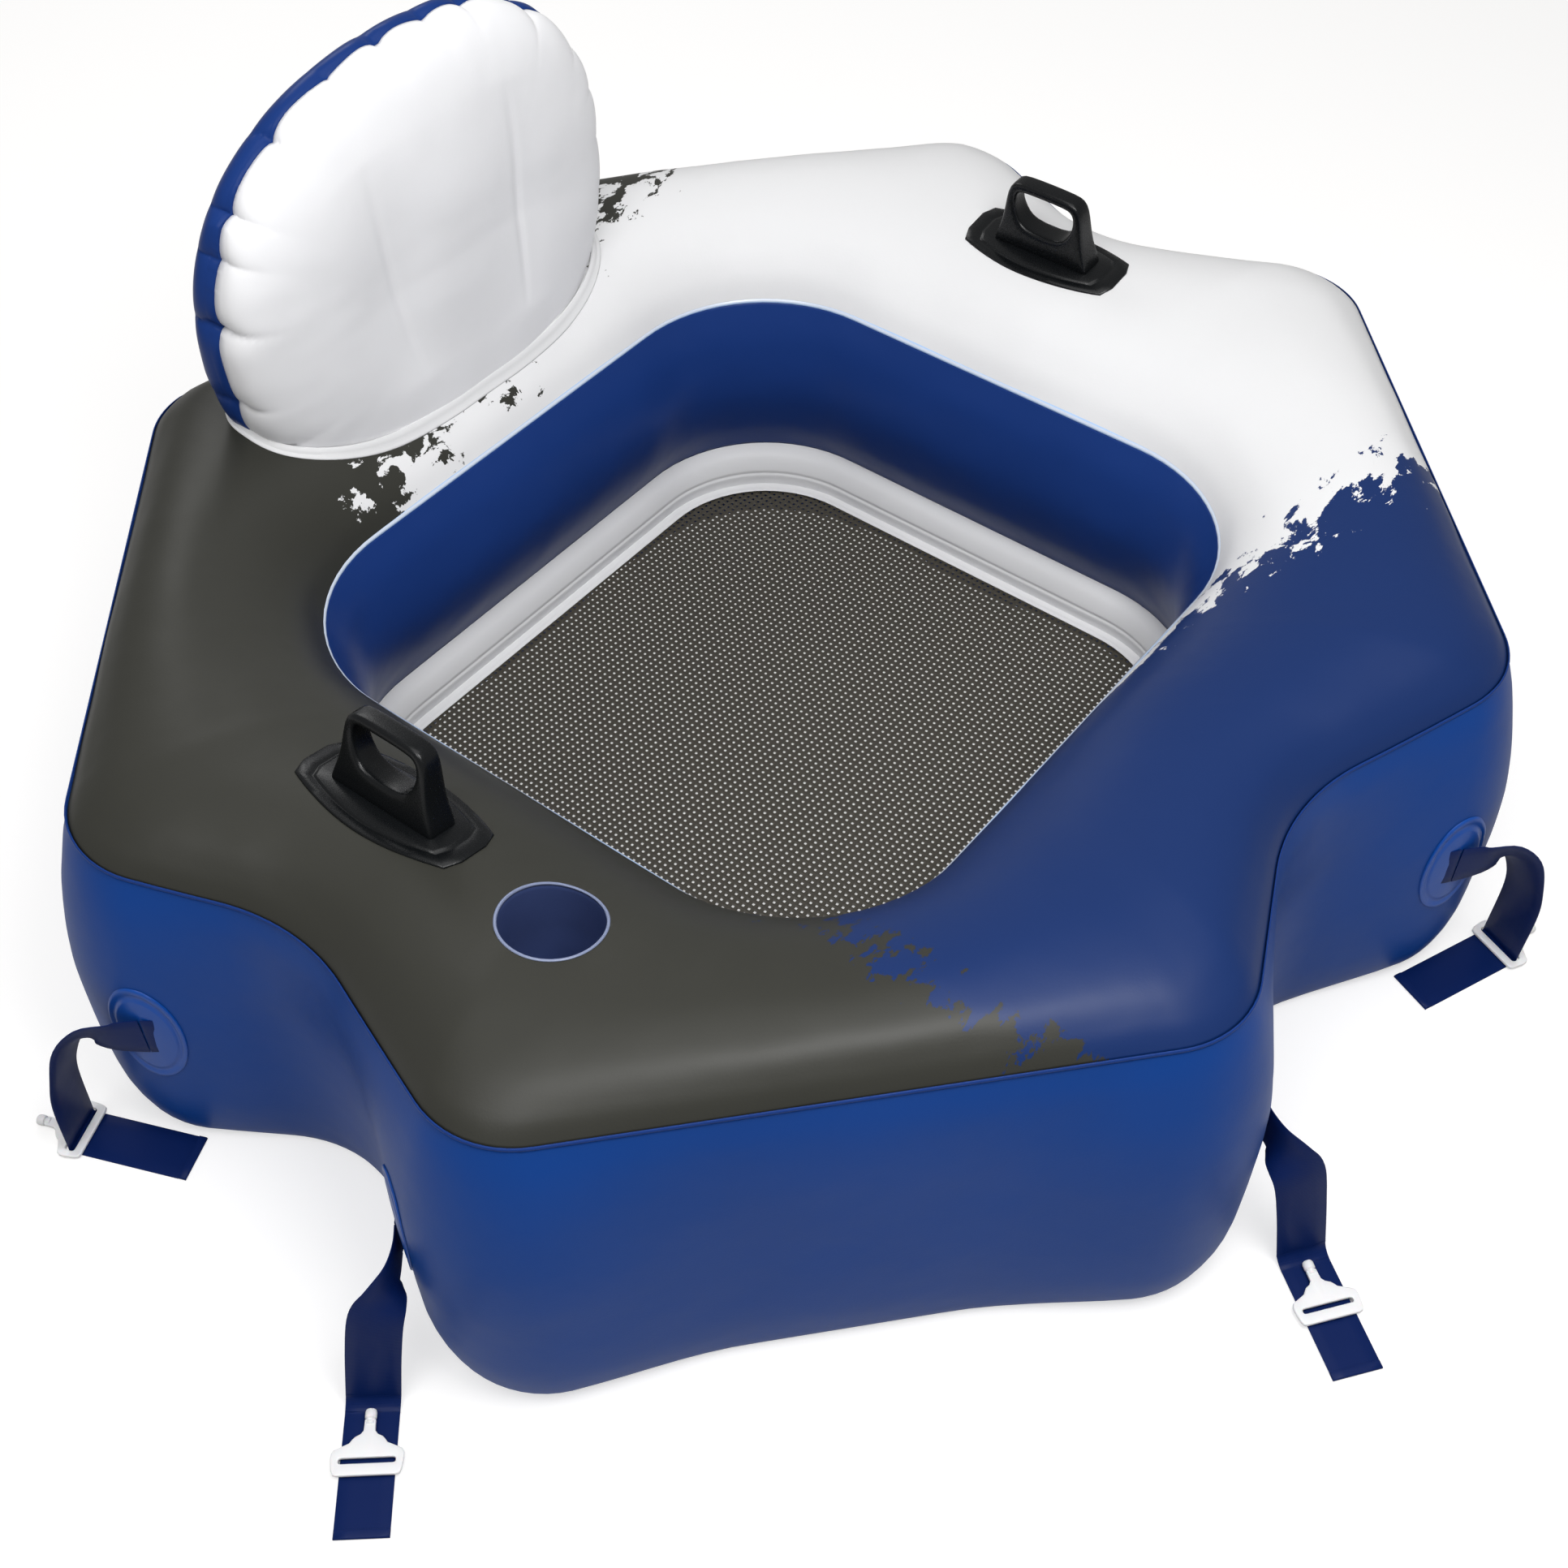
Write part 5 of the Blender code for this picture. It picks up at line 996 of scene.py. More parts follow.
class LOUNGER_OT_cup(bpy.types.Operator):
    """Build the cup recess with a rounded foot, and the pale weld round its mouth"""
    bl_idname = "lounger.cup"
    bl_label = "Cup recess"
    bl_options = {"REGISTER", "UNDO"}

    def execute(self, context):
        floor_z = top_height(CUP_CENTRE)[0].z - CUP_DEPTH
        mouths = [top_height(point)[0].z for point in circle(CUP_CENTRE, CUP_HOLE, CUP_SIDES)]
        sleeve = loft([[raised(point, mix(mouth, floor_z, share) - drop) for mouth, point
                        in zip(mouths, circle(CUP_CENTRE, CUP_RADIUS + grow, CUP_SIDES))]
                       for grow, drop, share in CUP_ROWS])
        foot = [edge for edge in sleeve.edges if edge.is_boundary and edge.verts[0].co.z < floor_z + 0.01]
        bmesh.ops.holes_fill(sleeve, edges=foot, sides=0)
        # The lining's finish is the navy sheet drawn lighter: painted light inside the recess.
        add_piece("cup_lining", face_from(sleeve, raised(CUP_CENTRE, 10.0), towards=True), "cup_pvc", "navy_vinyl",
                  ["cup_sleeve"])
        rim = loft([on_top(circle(CUP_CENTRE, CUP_RADIUS + grow, CUP_SIDES), rise) for grow, rise in CUP_WELD_ROWS])
        add_piece("cup_weld", face_from(rim, raised(CUP_CENTRE, -10.0)), "cup_weld_pvc", "pale_weld", ["cup_rim"],
                  context.scene.lounger_tube.sheet)
        return {"FINISHED"}


# Handles


def pad_outline():
    """Lens-shaped outline of a handle's pad, with softened tips."""
    sharp = []
    for side in (1.0, -1.0):
        for step in range(PAD_STEPS + 1):
            share = side * (2.0 * step / PAD_STEPS - 1.0)
            sharp.append(Vector((side * mix(*PAD_HALF_WIDTHS, share * share), PAD_HALF_LENGTH * share)))
    return [(before + point * 2.0 + after) / 4.0
            for before, point, after in zip(sharp[-1:] + sharp[:-1], sharp, sharp[1:] + sharp[:1])]


def build_pad(name, middle, nodes):
    """Pad of one handle, with a raised middle inside a stepped border."""
    thickness = bpy.context.scene.lounger_fittings.pad
    rings = []
    for scale, share in PAD_ROWS:
        shrink = Vector((scale, mix(1.0, scale, PAD_LENGTH_SHARE)))
        laid = [top_height(middle + point * shrink) for point in pad_outline()]
        rings.append([surface + normal * max(FIT_GAP, thickness * share) for surface, normal in laid])
    add_piece(name, close_ends(loft(rings)), "moulded_black_pvc", "black_vinyl", nodes)


def grip_outline(half, foot_z):
    """Whole outline of a grip or of its opening, in its own plane."""
    whole = (*half, *((-y, z) for y, z in reversed(half[:-1])), (0.0, foot_z))
    return [Vector((0.0, y, z)) for y, z in whole]


def build_grip(name, middle, nodes):
    """Moulded grip with a rounded bar, a finger opening with beaded edges and a flared foot."""
    bm, front = doubled_plate(grip_outline(GRIP_OUTER, GRIP_FEET[0]), grip_outline(GRIP_INNER, GRIP_FEET[1]))
    front = set(front)
    for vert in bm.verts:
        half = mix(*GRIP_HALF_DEPTHS, clamped(vert.co.z / GRIP_HEIGHT) ** GRIP_TAPER)
        vert.co.x = half if vert in front else -half
    round_rims(bm, GRIP_EDGE)
    surface, normal = top_height(middle)
    foot = surface + normal * bpy.context.scene.lounger_fittings.pad * 1.3
    stand = Matrix.Translation(foot) @ Matrix.Rotation(math.atan2(normal.x, normal.z), 4, "Y")
    bmesh.ops.transform(bm, matrix=stand, verts=bm.verts)
    add_piece(name, bm, "moulded_black_pvc", "black_vinyl", nodes, levels=1, angle=0.0)


class LOUNGER_OT_handles(bpy.types.Operator):
    """Build both carry handles"""
    bl_idname = "lounger.handles"
    bl_label = "Handles"
    bl_options = {"REGISTER", "UNDO"}

    def execute(self, context):
        for label, middle in HANDLE_MIDDLES.items():
            build_pad("handle_base_" + label, middle, ["handle_pad_" + label])
            build_grip("handle_bar_" + label, middle, ["handle_grip_" + label])
        return {"FINISHED"}


# Backrest


def seam_point(angle):
    """Point x, z of the backrest's edge seam at an angle from +X, anticlockwise."""
    power = 2.0 / SEAM_ROUNDNESS
    height = BACK_TOP_Z - BACK_WIDEST_Z if math.sin(angle) > 0.0 else -BACK_FOOT_RADIUS
    return Vector((BACK_HALF_WIDTH * math.cos(angle) ** power,
                   BACK_WIDEST_Z + height * abs(math.sin(angle)) ** power))


def back_plane_point(across, up):
    """Point x, z of the backrest's face: across from -1 to 1, up from the foot to the arch."""
    side = seam_point(mix(FOOT_ANGLE, SHOULDER_ANGLE, up))
    corner = seam_point(FOOT_ANGLE)
    shoulder = seam_point(SHOULDER_ANGLE)
    arch = seam_point(mix(math.pi / 2.0, SHOULDER_ANGLE, abs(across)))
    arch.x = math.copysign(arch.x, across)
    foot, line, sides = (Vector((point.x * across, point.y)) for point in (corner, shoulder, side))
    return sides + mix(foot, arch, up) - mix(foot, line, up)


def skin_depth(facing, across, up):
    """Half depth of the backrest, full in the middle and nothing at the side seams."""
    swell = max(0.0, 1.0 - abs(across) ** BACK_ROUNDNESS) ** (1.0 / BACK_ROUNDNESS)
    return mix(BASE_DEPTHS[facing], MID_DEPTHS[facing], min(1.0, up * 2.0)) * swell


def back_middle(height):
    """Y of the leaning backrest's middle at a height."""
    return BACK_MID_Y + (height - BACK_FOOT_Z) * math.tan(BACK_LEAN)


def seam_line():
    """Points of the edge seam from the left foot over the arch, each with its run along the seam."""
    points = [back_plane_point(-1.0, step / 60.0) for step in range(61)]
    points += [back_plane_point(-1.0 + 2.0 * step / 120.0, 1.0) for step in range(1, 120)]
    points += [back_plane_point(1.0, 1.0 - step / 60.0) for step in range(61)]
    run, line = 0.0, []
    for index, point in enumerate(points):
        run += (point - points[index - 1]).length if index else 0.0
        line.append((point, run))
    return line


def lobe(run, pitch):
    """How full the edge is at a run along the seam: 0 at a notch and 1 between notches."""
    phase = run / pitch + 0.20 * math.sin(run * 23.0) + 0.11 * math.sin(run * 61.0 + 1.3)
    depth = 0.78 + 0.22 * math.sin(phase * 2.4 + 0.6)
    return 1.0 - depth * (1.0 - abs(math.sin(math.pi * phase)) ** 0.5)


def channel_valley(across, up):
    """Depth of the tension channels at a place of the face, from 0 to 1: a sharp line in a soft hollow."""
    tension = math.sin(math.pi * clamped((up - CHANNEL_ENDS[0]) / (CHANNEL_ENDS[1] - CHANNEL_ENDS[0])))
    aside = (abs(across) - CHANNEL_SHARE) * BACK_HALF_WIDTH
    return tension * sum(share * math.exp(-(aside / width) ** 2) for width, share in CHANNEL_PARTS)


def edge_relief(run, distance, full, facing, crease):
    """Height of the lobes and folds near the edge seam, at a distance from it."""
    swell = 0.26 * (full - 0.5) * (distance / LOBE_WIDTH) * math.exp(1.0 - distance / LOBE_WIDTH)
    fold = (1.0 - full) ** 3 * math.exp(-distance / CREASE_REACH) * min(1.0, distance / 0.004)
    slack = noise.noise(Vector((run * 38.0, distance * 22.0, facing * 5.0)))
    slack *= math.exp(-distance / SLACK_REACH) * min(1.0, distance / 0.010)
    return crease * (swell - 0.8 * fold + 0.35 * slack) * CREASE_SHARES[facing]


def band_swell(across, up):
    """How far a skin bulges sideways past the seam, less near the foot."""
    share = min(1.0, 2.0 * min(1.0 - abs(across), 1.0 - up))
    return BAND_SWELL * math.sin(math.pi * share ** 0.42) * min(1.0, 0.1 + 1.8 * up)


def skin_point(across, up, facing, seam, tree):
    """Point of the backrest's skin on its front or back."""
    sizes = bpy.context.scene.lounger_backrest
    flat = back_plane_point(across, up)
    near, _, index, distance = tree.find_nearest(raised(flat, 0.5))
    start, run = seam[index]
    run += (near.xy - start).length
    full = lobe(run, sizes.scallop)
    depth = skin_depth(facing, across, up) * max(0.0, 1.0 - up ** 3) ** 0.6
    depth += edge_relief(run, distance, full, facing, sizes.crease) - sizes.channel * channel_valley(across, up)
    depth += 0.0014 * noise.noise(Vector((flat.x * 13.0, flat.y * 13.0, facing * 3.0))) * min(1.0, distance / 0.03)
    depth = max(depth, SEAM_HALF_GAP) if distance > 0.0005 else SEAM_HALF_GAP
    outward = (flat - Vector((0.0, BACK_WIDEST_Z))).normalized()
    flat -= outward * sizes.notch * (1.0 - full) * math.exp(-distance / NOTCH_REACH[facing])
    flat += outward * band_swell(across, up) * BAND_SHARES[facing]
    return Vector((flat.x, back_middle(flat.y) + facing * depth, flat.y))


def back_panel(facing):
    """Front or back skin of the backrest, with scallops, folds and channels."""
    seam = seam_line()
    count = len(seam)
    strip = [raised(point, level) for level in (0.0, 1.0) for point, _ in seam]
    tree = BVHTree.FromPolygons(strip, [(i, i + 1, count + i + 1, count + i) for i in range(count - 1)])
    bm = bmesh.new()
    bmesh.ops.create_grid(bm, x_segments=SKIN_GRID[0], y_segments=SKIN_GRID[1], size=1.0)
    for vert in bm.verts:
        across = math.sin(vert.co.x * math.pi / 2.0)
        up = math.sin((vert.co.y + 1.0) / 2.0 * math.pi / 2.0)
        vert.co = skin_point(across, up, facing, seam, tree)
    bm.normal_update()
    return face_from(bm, Vector((0.0, BACK_MID_Y - facing * 10.0, BACK_WIDEST_Z)))


def footprint(grow):
    """Plan outline of the backrest's foot, larger by grow and a little wider at its ends."""
    points = []
    for facing in (-1.0, 1.0):
        for step in range(FOOT_STEPS):
            across = math.sin(facing * -1.0 * (2.0 * step / FOOT_STEPS - 1.0) * math.pi / 2.0)
            flat = back_plane_point(across, FOOT_UP)
            points.append(Vector((flat.x * LIP_SPREAD,
                                  back_middle(flat.y) + facing * skin_depth(facing, across, FOOT_UP))))
    outline = []
    for index, point in enumerate(points):
        run = points[(index + 1) % len(points)] - points[index - 1]
        outline.append(point + Vector((run.y, -run.x)).normalized() * grow)
    return outline


class LOUNGER_OT_backrest(bpy.types.Operator):
    """Build both skins of the backrest and the lip that it stands on"""
    bl_idname = "lounger.backrest"
    bl_label = "Backrest"
    bl_options = {"REGISTER", "UNDO"}

    def execute(self, context):
        for facing, name, finish, slot in ((-1.0, "front", "bright_white_pvc", "white_vinyl"),
                                           (1.0, "back", "navy_pvc", "navy_vinyl")):
            skin = add_piece("backrest_" + name + "_panel", back_panel(facing), finish, slot, ["backrest_" + name],
                             SKIN_THICKNESS, "backrest", angle=0.0)
        width = context.scene.lounger_backrest.lip
        lip = loft([on_top(footprint(width * share), rise) for share, rise in LIP_ROWS])
        add_piece("backrest_bead", face_from(lip, Vector((0.0, BACK_MID_Y, -10.0))), "white_pvc", "white_vinyl",
                  ["backrest_lip"], SKIN_THICKNESS)
        for rib in ("backrest_rib_left", "backrest_rib_right"):
            kept = frame["nodes"][rib].data.materials
            kept.clear()
            kept.append(finish_named("white_pvc"))
        return {"FINISHED"}


# Straps


def wall_point(plan_point, height, outward):
    """Point and normal of the outer wall beside a plan point."""
    return TREES["wall"].ray_cast(raised(plan_point, height) + outward, -outward)[:2]


def strap_places():
    """Name, style, patch middle, its normal, outward and cornerward directions of each strap."""
    ends = (("right_back", "bow", mirrored(SIDE_WAIST), mirrored(SIDE_CORNER_BACK)),
            ("right_front", "hang", mirrored(SIDE_WAIST), mirrored(SIDE_CORNER_FRONT)),
            ("front_right", "hang", FRONT_WAIST, mirrored(FRONT_CORNER)),
            ("front_left", "bow", FRONT_WAIST, FRONT_CORNER),
            ("left_front", "hang", SIDE_WAIST, SIDE_CORNER_FRONT),
            ("left_back", "bow", SIDE_WAIST, SIDE_CORNER_BACK),
            ("back_left", "hang", BACK_WAIST, BACK_CORNER),
            ("back_right", "bow", BACK_WAIST, mirrored(BACK_CORNER)))
    for name, style, waist, corner in ends:
        along = (corner - waist).normalized()
        outward = Vector((along.y, -along.x))
        outward = raised(outward if outward.dot(waist) > 0.0 else -outward, 0.0)
        middle = corner - along * STRAP_STYLES[style]["inset"] + STAND.xy
        yield (name, style, *wall_point(middle, PATCH_Z, outward), outward, raised(along, 0.0))


def strap_line(style, place, normal, outward, along):
    """Stations of a strap (middle, width direction and thickness), its fall, its tail's way and its bend's end."""
    plan = STRAP_STYLES[style]
    sizes = bpy.context.scene.lounger_fittings
    thickness = sizes.strap_thickness
    tail_run = outward * math.cos(plan["tail_turn"]) + along * math.sin(plan["tail_turn"])
    across = UP.cross(tail_run)
    across *= math.copysign(1.0, across.dot(outward + along))
    root = place + normal * (FIT_GAP * 2.0 + sizes.patch + thickness / 2.0)
    stations = []
    for out, run, height, turn in plan["rows"]:
        point = raised(root + outward * plan["reach"] * out + along * plan["run"] * run, plan["root_z"] * height)
        angle = turn * math.pi / 2.0
        stations.append((point, (UP * math.cos(angle) + across * math.sin(angle)).normalized(), thickness))
    lower, fall = stations[-1][0], (stations[-1][0] - stations[-2][0]).normalized()
    turning = fall.angle(tail_run)
    meet = lower + fall * ((lower.z - plan["lift"] - FIT_GAP - thickness / 2.0) / abs(fall.z))
    bend_end = meet + tail_run * (SLOT_HEIGHT / 2.0 * math.tan(turning / 2.0))
    first = meet - fall * (plan["bend"] * math.tan(turning / 2.0))
    centre = meet + (tail_run - fall).normalized() * (plan["bend"] / math.cos(turning / 2.0))
    axis = fall.cross(tail_run).normalized()
    for step in range(BEND_STEPS + 1):
        turn = Matrix.Rotation(turning * step / BEND_STEPS, 3, axis)
        stations.append((centre + turn @ (first - centre), across, thickness))
    bent, end = stations[-1][0], bend_end + tail_run * (plan["tail"] - HEM)
    stations.extend((mix(bent, end, share), across, thickness) for share in (0.25, 0.5, 0.75, 1.0))
    return stations, fall, tail_run, bend_end


def band(rows, width):
    """Closed band with rounded edges through rows of middle, width direction and thickness, above the floor."""
    rings = []
    for index, (point, across, thick) in enumerate(rows):
        travel = (rows[min(index + 1, len(rows) - 1)][0] - rows[max(index - 1, 0)][0]).normalized()
        across = (across - travel * across.dot(travel)).normalized()
        face = travel.cross(across)
        ring = [point + across * width / 2.0 * share + face * thick / 2.0 * rise for share, rise in BAND_SECTION]
        lift = max(0.0, FIT_GAP - min(corner.z for corner in ring))
        rings.append([raised(corner, corner.z + lift) for corner in ring])
    return close_ends(loft(rings))


def ribbon(stations, width):
    """Strap through a smooth line of stations, with its hem turned over at the end."""
    smooth = smoothed([(*point, *across, thick) for point, across, thick in stations], STRAP_ROWS)
    lowest = min(point.z for point, _, _ in stations)
    rows = [(raised(row[:2], max(row[2], lowest)), Vector(row[3:6]), row[6]) for row in smooth]
    end, across, thick = rows[-1]
    travel = (end - rows[-2][0]).normalized()
    for distance, layers in HEM_FOLDS:
        place = end + travel * distance
        place.z = max(place.z, thick * layers / 2.0)
        rows.append((place, across, thick * layers))
    return band(rows, width)


def welded_tab(stations, width):
    """End of a strap that is welded flat to its patch, just clear of the strap so that the strap can swing."""
    root, across, thick = stations[0]
    back = (root - stations[1][0]).normalized() * TAB_LENGTH
    return band([(root + back * share, across, thick * fullness) for share, fullness in TAB_ROWS], width)


def patch_skin(place, outward, along):
    """Oval patch welded to the wall, with a raised rim and a raised middle."""
    thickness = bpy.context.scene.lounger_fittings.patch
    half_width, half_height = PATCH_HALF
    turns = [FULL_TURN * step / PATCH_SIDES for step in range(PATCH_SIDES)]
    rings = []
    for scale, share in PATCH_ROWS:
        laid = [wall_point(place + along * (half_width * scale * math.cos(turn)),
                           PATCH_Z + half_height * scale * math.sin(turn), outward) for turn in turns]
        rings.append([surface + normal * max(FIT_GAP, thickness * share) for surface, normal in laid])
    return close_ends(loft(rings))


def buckle_place(style, line, along):
    """Place of a buckle's slot and the way in which its knob points."""
    stations, fall, tail_run, bend_end = line
    sizes = bpy.context.scene.lounger_fittings
    if style == "bow":
        level = BOW_BUCKLE_LEVEL + sizes.buckle / 2.0
        lower = stations[len(STRAP_STYLES[style]["rows"]) - 1][0]
        return raised(lower + fall * ((level - lower.z) / fall.z), level), along
    level = KEEPER_BAR + FIT_GAP * 2.0 + sizes.strap_thickness + HANG_BUCKLE_LEVEL
    return raised(bend_end + tail_run * HANG_BUCKLE_OUT, level), -tail_run


def buckle_plate(style, thickness):
    """Flat plate with a rounded slot, a shouldered neck towards +Y and rounded edges."""
    slot_half = STRAP_STYLES[style]["slot"] / 2.0
    halves = ([(BUCKLE_HALF_WIDTH * x, BUCKLE_BACK + BUCKLE_LENGTH * y) for x, y in BUCKLE_OUTLINE],
              [(SLOT_HALF_WIDTH * x, slot_half * y) for x, y in SLOT_OUTLINE])
    loops = [[raised(point, -thickness / 2.0) for point in (*half, *map(mirrored, reversed(half)))]
             for half in halves]
    bm, upper = doubled_plate(*loops)
    bmesh.ops.translate(bm, verts=upper, vec=(0.0, 0.0, thickness))
    round_rims(bm, BUCKLE_EDGE)
    return bm


def add_block(bm, size, place):
    """Block with a size and a middle, added to a mesh."""
    bmesh.ops.create_cube(bm, size=1.0, matrix=Matrix.Translation(place) @ Matrix.Diagonal((*size, 1.0)))


def build_buckle(name, style, line, along):
    """White buckle: a plate with a slot, a shouldered neck and a knob of two collars, and a keeper under some."""
    thickness = bpy.context.scene.lounger_fittings.buckle
    seat, knob_way = buckle_place(style, line, along)
    bm = buckle_plate(style, thickness)
    add_turned(bm, KNOB, 24, Matrix.Rotation(-math.pi / 2.0, 4, "X"))
    if style == "hang":
        add_block(bm, (*KEEPER_SIZE, KEEPER_BAR), Vector((0.0, 0.0, KEEPER_BAR / 2.0 - seat.z)))
        post, out = KEEPER_POST
        height = seat.z - thickness / 2.0
        for side in (-1.0, 1.0):
            add_block(bm, (post, KEEPER_SIZE[1], height), Vector((side * out, 0.0, height / 2.0 - seat.z)))
    bmesh.ops.recalc_face_normals(bm, faces=bm.faces)
    turn = Matrix((knob_way.cross(UP), knob_way, UP)).transposed().to_4x4()
    bmesh.ops.transform(bm, matrix=Matrix.Translation(seat) @ turn, verts=bm.verts)
    add_piece("knob_buckle_" + name, bm, "moulded_acetal", "white_plastic", ["buckle_" + name],
              body="buckle_" + name, angle=35.0)


class LOUNGER_OT_straps(bpy.types.Operator):
    """Build the patch, strap and buckle at each end of the concave walls"""
    bl_idname = "lounger.straps"
    bl_label = "Straps"
    bl_options = {"REGISTER", "UNDO"}

    def execute(self, context):
        width = context.scene.lounger_fittings.strap_width
        for name, style, place, normal, outward, along in strap_places():
            add_piece("patch_" + name, patch_skin(place, outward, along), "patch_pvc", "royal_blue_vinyl",
                      ["strap_patch_" + name])
            line = strap_line(style, place, normal, outward, along)
            stations = line[0]
            run = sum((after[0] - before[0]).length for before, after in zip(stations, stations[1:])) + HEM
            strap = add_piece("webbing_" + name, ribbon(stations, width), "coated_webbing", "navy_webbing",
                              ["strap_" + name], body="strap_" + name, angle=50.0)
            add_piece("webbing_tab_" + name, welded_tab(stations, width), "coated_webbing", "navy_webbing", [],
                      angle=50.0)
            build_buckle(name, style, line, along)
        return {"FINISHED"}


# Valves


def turned_piece(profile, place, outward):
    """Solid turned about a direction from a profile of radius and height."""
    bm = bmesh.new()
    add_turned(bm, profile, 48, Matrix.Translation(place) @ outward.to_track_quat("Z", "Y").to_matrix().to_4x4())
    bmesh.ops.recalc_face_normals(bm, faces=bm.faces)
    return bm


class LOUNGER_OT_valves(bpy.types.Operator):
    """Build the flange and stopper of the tube's and the backrest's valves"""
    bl_idname = "lounger.valves"
    bl_label = "Valves"
    bl_options = {"REGISTER", "UNDO"}

    def execute(self, context):
        for valve, body in (("tube_valve", "float"), ("backrest_valve", "backrest")):
            outward = Vector(next(joint["axis"] for joint in frame["joints"] if joint["child"] == valve + "_plug"))
            low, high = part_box(valve + "_body")
            place = (low + high) / 2.0 + outward * (VALVE_DEPTH / 2.0 - VALVE_TOP)
            add_piece(valve + "_flange", turned_piece(FLANGE, place, outward), "valve_pvc", "pale_weld",
                      [valve + "_body"], body=body)
            add_piece(valve + "_stopper", turned_piece(STOPPER, place, outward), "valve_pvc", "pale_weld",
                      [valve + "_plug"], body=valve + "_plug")
        return {"FINISHED"}


# Stage

WHITE = (1.0, 1.0, 1.0, 1.0)
FLOOR_SIZE = 30.0
FLOOR_COLOUR = (0.54, 0.532, 0.522, 1.0)
FLOOR_GLOW = 0.56
FLOOR_GLOSS_SHARE = 0.3
WORLD_STRENGTH = 0.34
# Soft lamps: place, diameter and watts
LAMPS = {"key_lamp": ((-1.5, -0.4, 2.4), 1.3, 22.0), "top_lamp": ((0.0, -0.2, 3.4), 2.6, 29.0),
         "back_lamp": ((0.9, 2.2, 1.9), 1.0, 8.0), "front_lamp": ((-0.45, -0.95, 1.9), 0.8, 18.0)}
LAMP_TARGET = Vector((0.0, 0.0, 0.2))
CAMERA_TARGET = Vector((-0.099, STAND.y - 0.081, 0.15))
CAMERA_DISTANCE = 1.917
CAMERA_ANGLES = [math.radians(angle) for angle in (-52.354, 48.283, 0.033)]
SENSOR_WIDTH = 36.0
FOCAL_LENGTH = 47.914


def build_floor():
    """Pale paper floor that keeps the shadow and shows light where the camera and clear parts see it."""
    bm = bmesh.new()
    bmesh.ops.create_grid(bm, x_segments=1, y_segments=1, size=FLOOR_SIZE)
    mesh = bpy.data.meshes.new("studio_floor")
    bm.to_mesh(mesh)
    bm.free()
    floor = bpy.data.objects.new("studio_floor", mesh)
    bpy.context.scene.collection.objects.link(floor)
    made, tree, shader, _ = new_material("studio_floor_paper", {
        "Roughness": 0.9, "Base Color": FLOOR_COLOUR, "Emission Color": WHITE})
    rays = add_node(tree, "LightPath")
    seen = add_node(tree, "Math", {"operation": "MULTIPLY", 1: FLOOR_GLOSS_SHARE},
                    {0: rays.outputs["Is Glossy Ray"]})
    for ray in ("Is Camera Ray", "Is Transmission Ray"):
        seen = add_node(tree, "Math", {"operation": "MAXIMUM"}, {0: rays.outputs[ray], 1: seen})
    share = add_node(tree, "Math", {"operation": "MULTIPLY", 1: FLOOR_GLOW}, {0: seen})
    tree.links.new(share.outputs["Value"], shader.inputs["Emission Strength"])
    mesh.materials.append(made)


def build_world():
    """Even white surroundings, which the camera sees as plain white."""
    world = bpy.data.worlds.new("studio_world")
    bpy.context.scene.world = world
    world.use_nodes = True
    tree = world.node_tree
    plain = tree.nodes["Background"]
    plain.inputs["Color"].default_value = WHITE
    plain.inputs["Strength"].default_value = WORLD_STRENGTH
    rays = add_node(tree, "LightPath")
    white = add_node(tree, "Background", {"Color": WHITE, "Strength": 1.0})
    pick = add_node(tree, "MixShader", links={0: rays.outputs["Is Camera Ray"], 1: plain, 2: white})
    tree.links.new(pick.outputs[0], tree.nodes["World Output"].inputs["Surface"])


def place_object(name, data, place, turn):
    """Lamp or camera at a place, with a turn."""
    made = bpy.data.objects.new(name, data)
    made.location = place
    made.rotation_mode = "QUATERNION"
    made.rotation_quaternion = turn
    bpy.context.scene.collection.objects.link(made)
    return made


def build_camera():
    """Camera at the photograph's angle."""
    lens = bpy.data.cameras.new("photo_camera")
    lens.sensor_width = SENSOR_WIDTH
    lens.lens = FOCAL_LENGTH
    azimuth, elevation, roll = CAMERA_ANGLES
    back = Vector((math.sin(azimuth) * math.cos(elevation), -math.cos(azimuth) * math.cos(elevation),
                   math.sin(elevation)))
    turn = back.to_track_quat("Z", "Y") @ Matrix.Rotation(-roll, 3, "Z").to_quaternion()
    bpy.context.scene.camera = place_object("photo_camera", lens, CAMERA_TARGET + back * CAMERA_DISTANCE, turn)


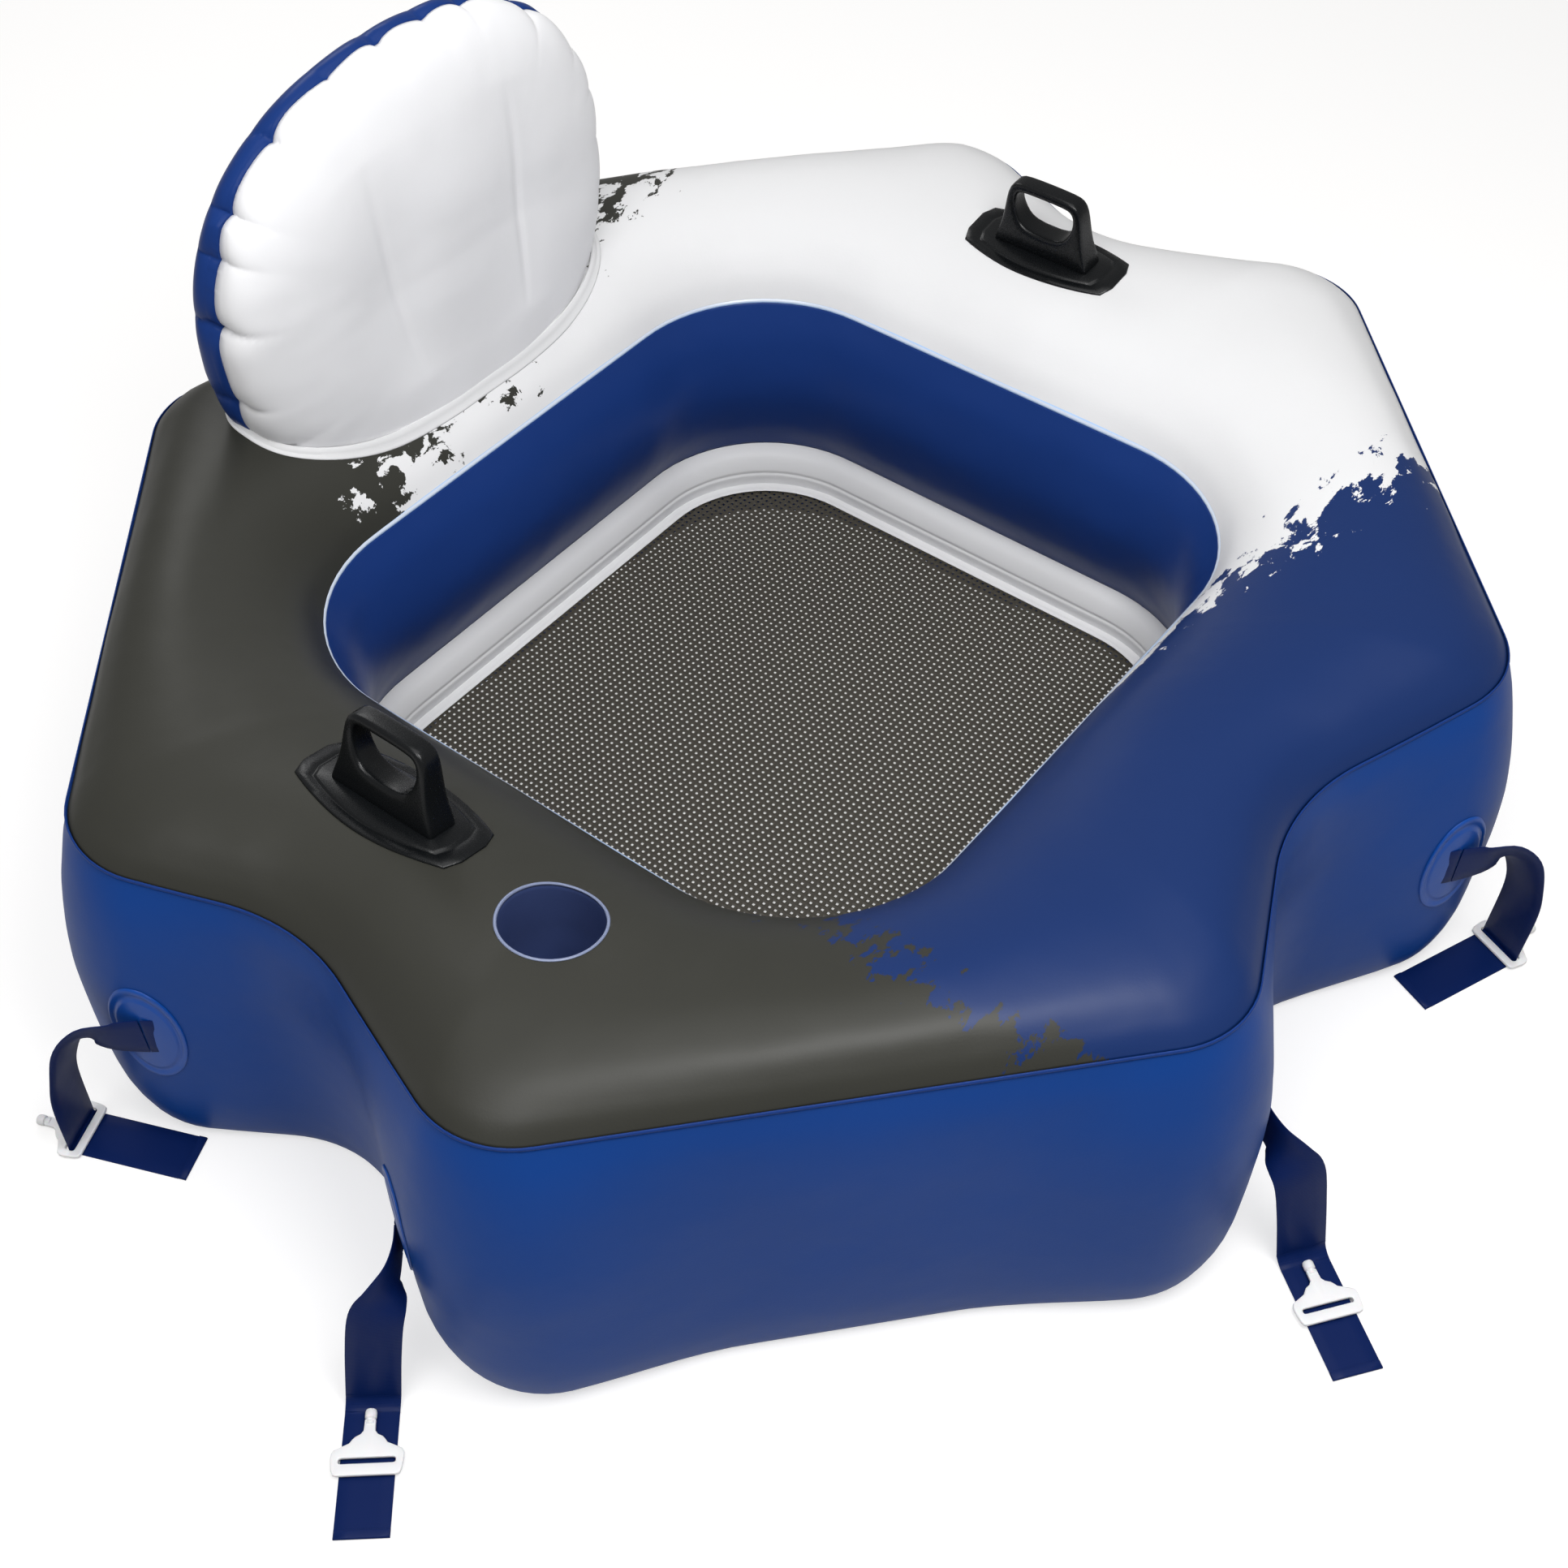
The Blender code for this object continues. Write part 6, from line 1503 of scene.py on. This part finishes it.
class LOUNGER_OT_stage(bpy.types.Operator):
    """Build the floor, the surroundings, the lamps and the camera"""
    bl_idname = "lounger.stage"
    bl_label = "Stage"
    bl_options = {"REGISTER", "UNDO"}

    def execute(self, context):
        build_floor()
        build_world()
        for name, (place, size, power) in LAMPS.items():
            lamp = bpy.data.lights.new(name, "AREA")
            lamp.shape = "DISK"
            lamp.size = size
            lamp.energy = power
            place_object(name, lamp, place, (Vector(place) - LAMP_TARGET).to_track_quat("Z", "Y"))
        build_camera()
        context.scene.view_settings.view_transform = "Standard"
        return {"FINISHED"}


OPERATORS = (LOUNGER_OT_tube, LOUNGER_OT_seat, LOUNGER_OT_cup, LOUNGER_OT_handles, LOUNGER_OT_backrest,
             LOUNGER_OT_straps, LOUNGER_OT_valves, LOUNGER_OT_stage)


class LOUNGER_PT_panel(bpy.types.Panel):
    """Sidebar panel that lists the building steps."""
    bl_idname = "LOUNGER_PT_panel"
    bl_label = "Pool lounger"
    bl_space_type = "VIEW_3D"
    bl_region_type = "UI"
    bl_category = "Lounger"

    def draw(self, context):
        for kind in OPERATORS:
            self.layout.operator(kind.bl_idname)


GROUPS = {"lounger_tube": LOUNGER_PG_tube, "lounger_backrest": LOUNGER_PG_backrest,
          "lounger_fittings": LOUNGER_PG_fittings, "lounger_colours": LOUNGER_PG_colours}


def register():
    """Add the classes and the scene's groups of settings."""
    for kind in (*GROUPS.values(), *OPERATORS, LOUNGER_PT_panel):
        bpy.utils.register_class(kind)
    for name, kind in GROUPS.items():
        setattr(bpy.types.Scene, name, bpy.props.PointerProperty(type=kind))


def unregister():
    """Take the classes and the groups of settings away."""
    for name in GROUPS:
        delattr(bpy.types.Scene, name)
    for kind in (LOUNGER_PT_panel, *reversed(OPERATORS), *reversed(GROUPS.values())):
        bpy.utils.unregister_class(kind)


def main():
    """Register the add-on and run its operators."""
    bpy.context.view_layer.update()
    register()
    for kind in OPERATORS:
        getattr(bpy.ops.lounger, kind.bl_idname.split(".")[1])()


if __name__ == "__main__":
    main()
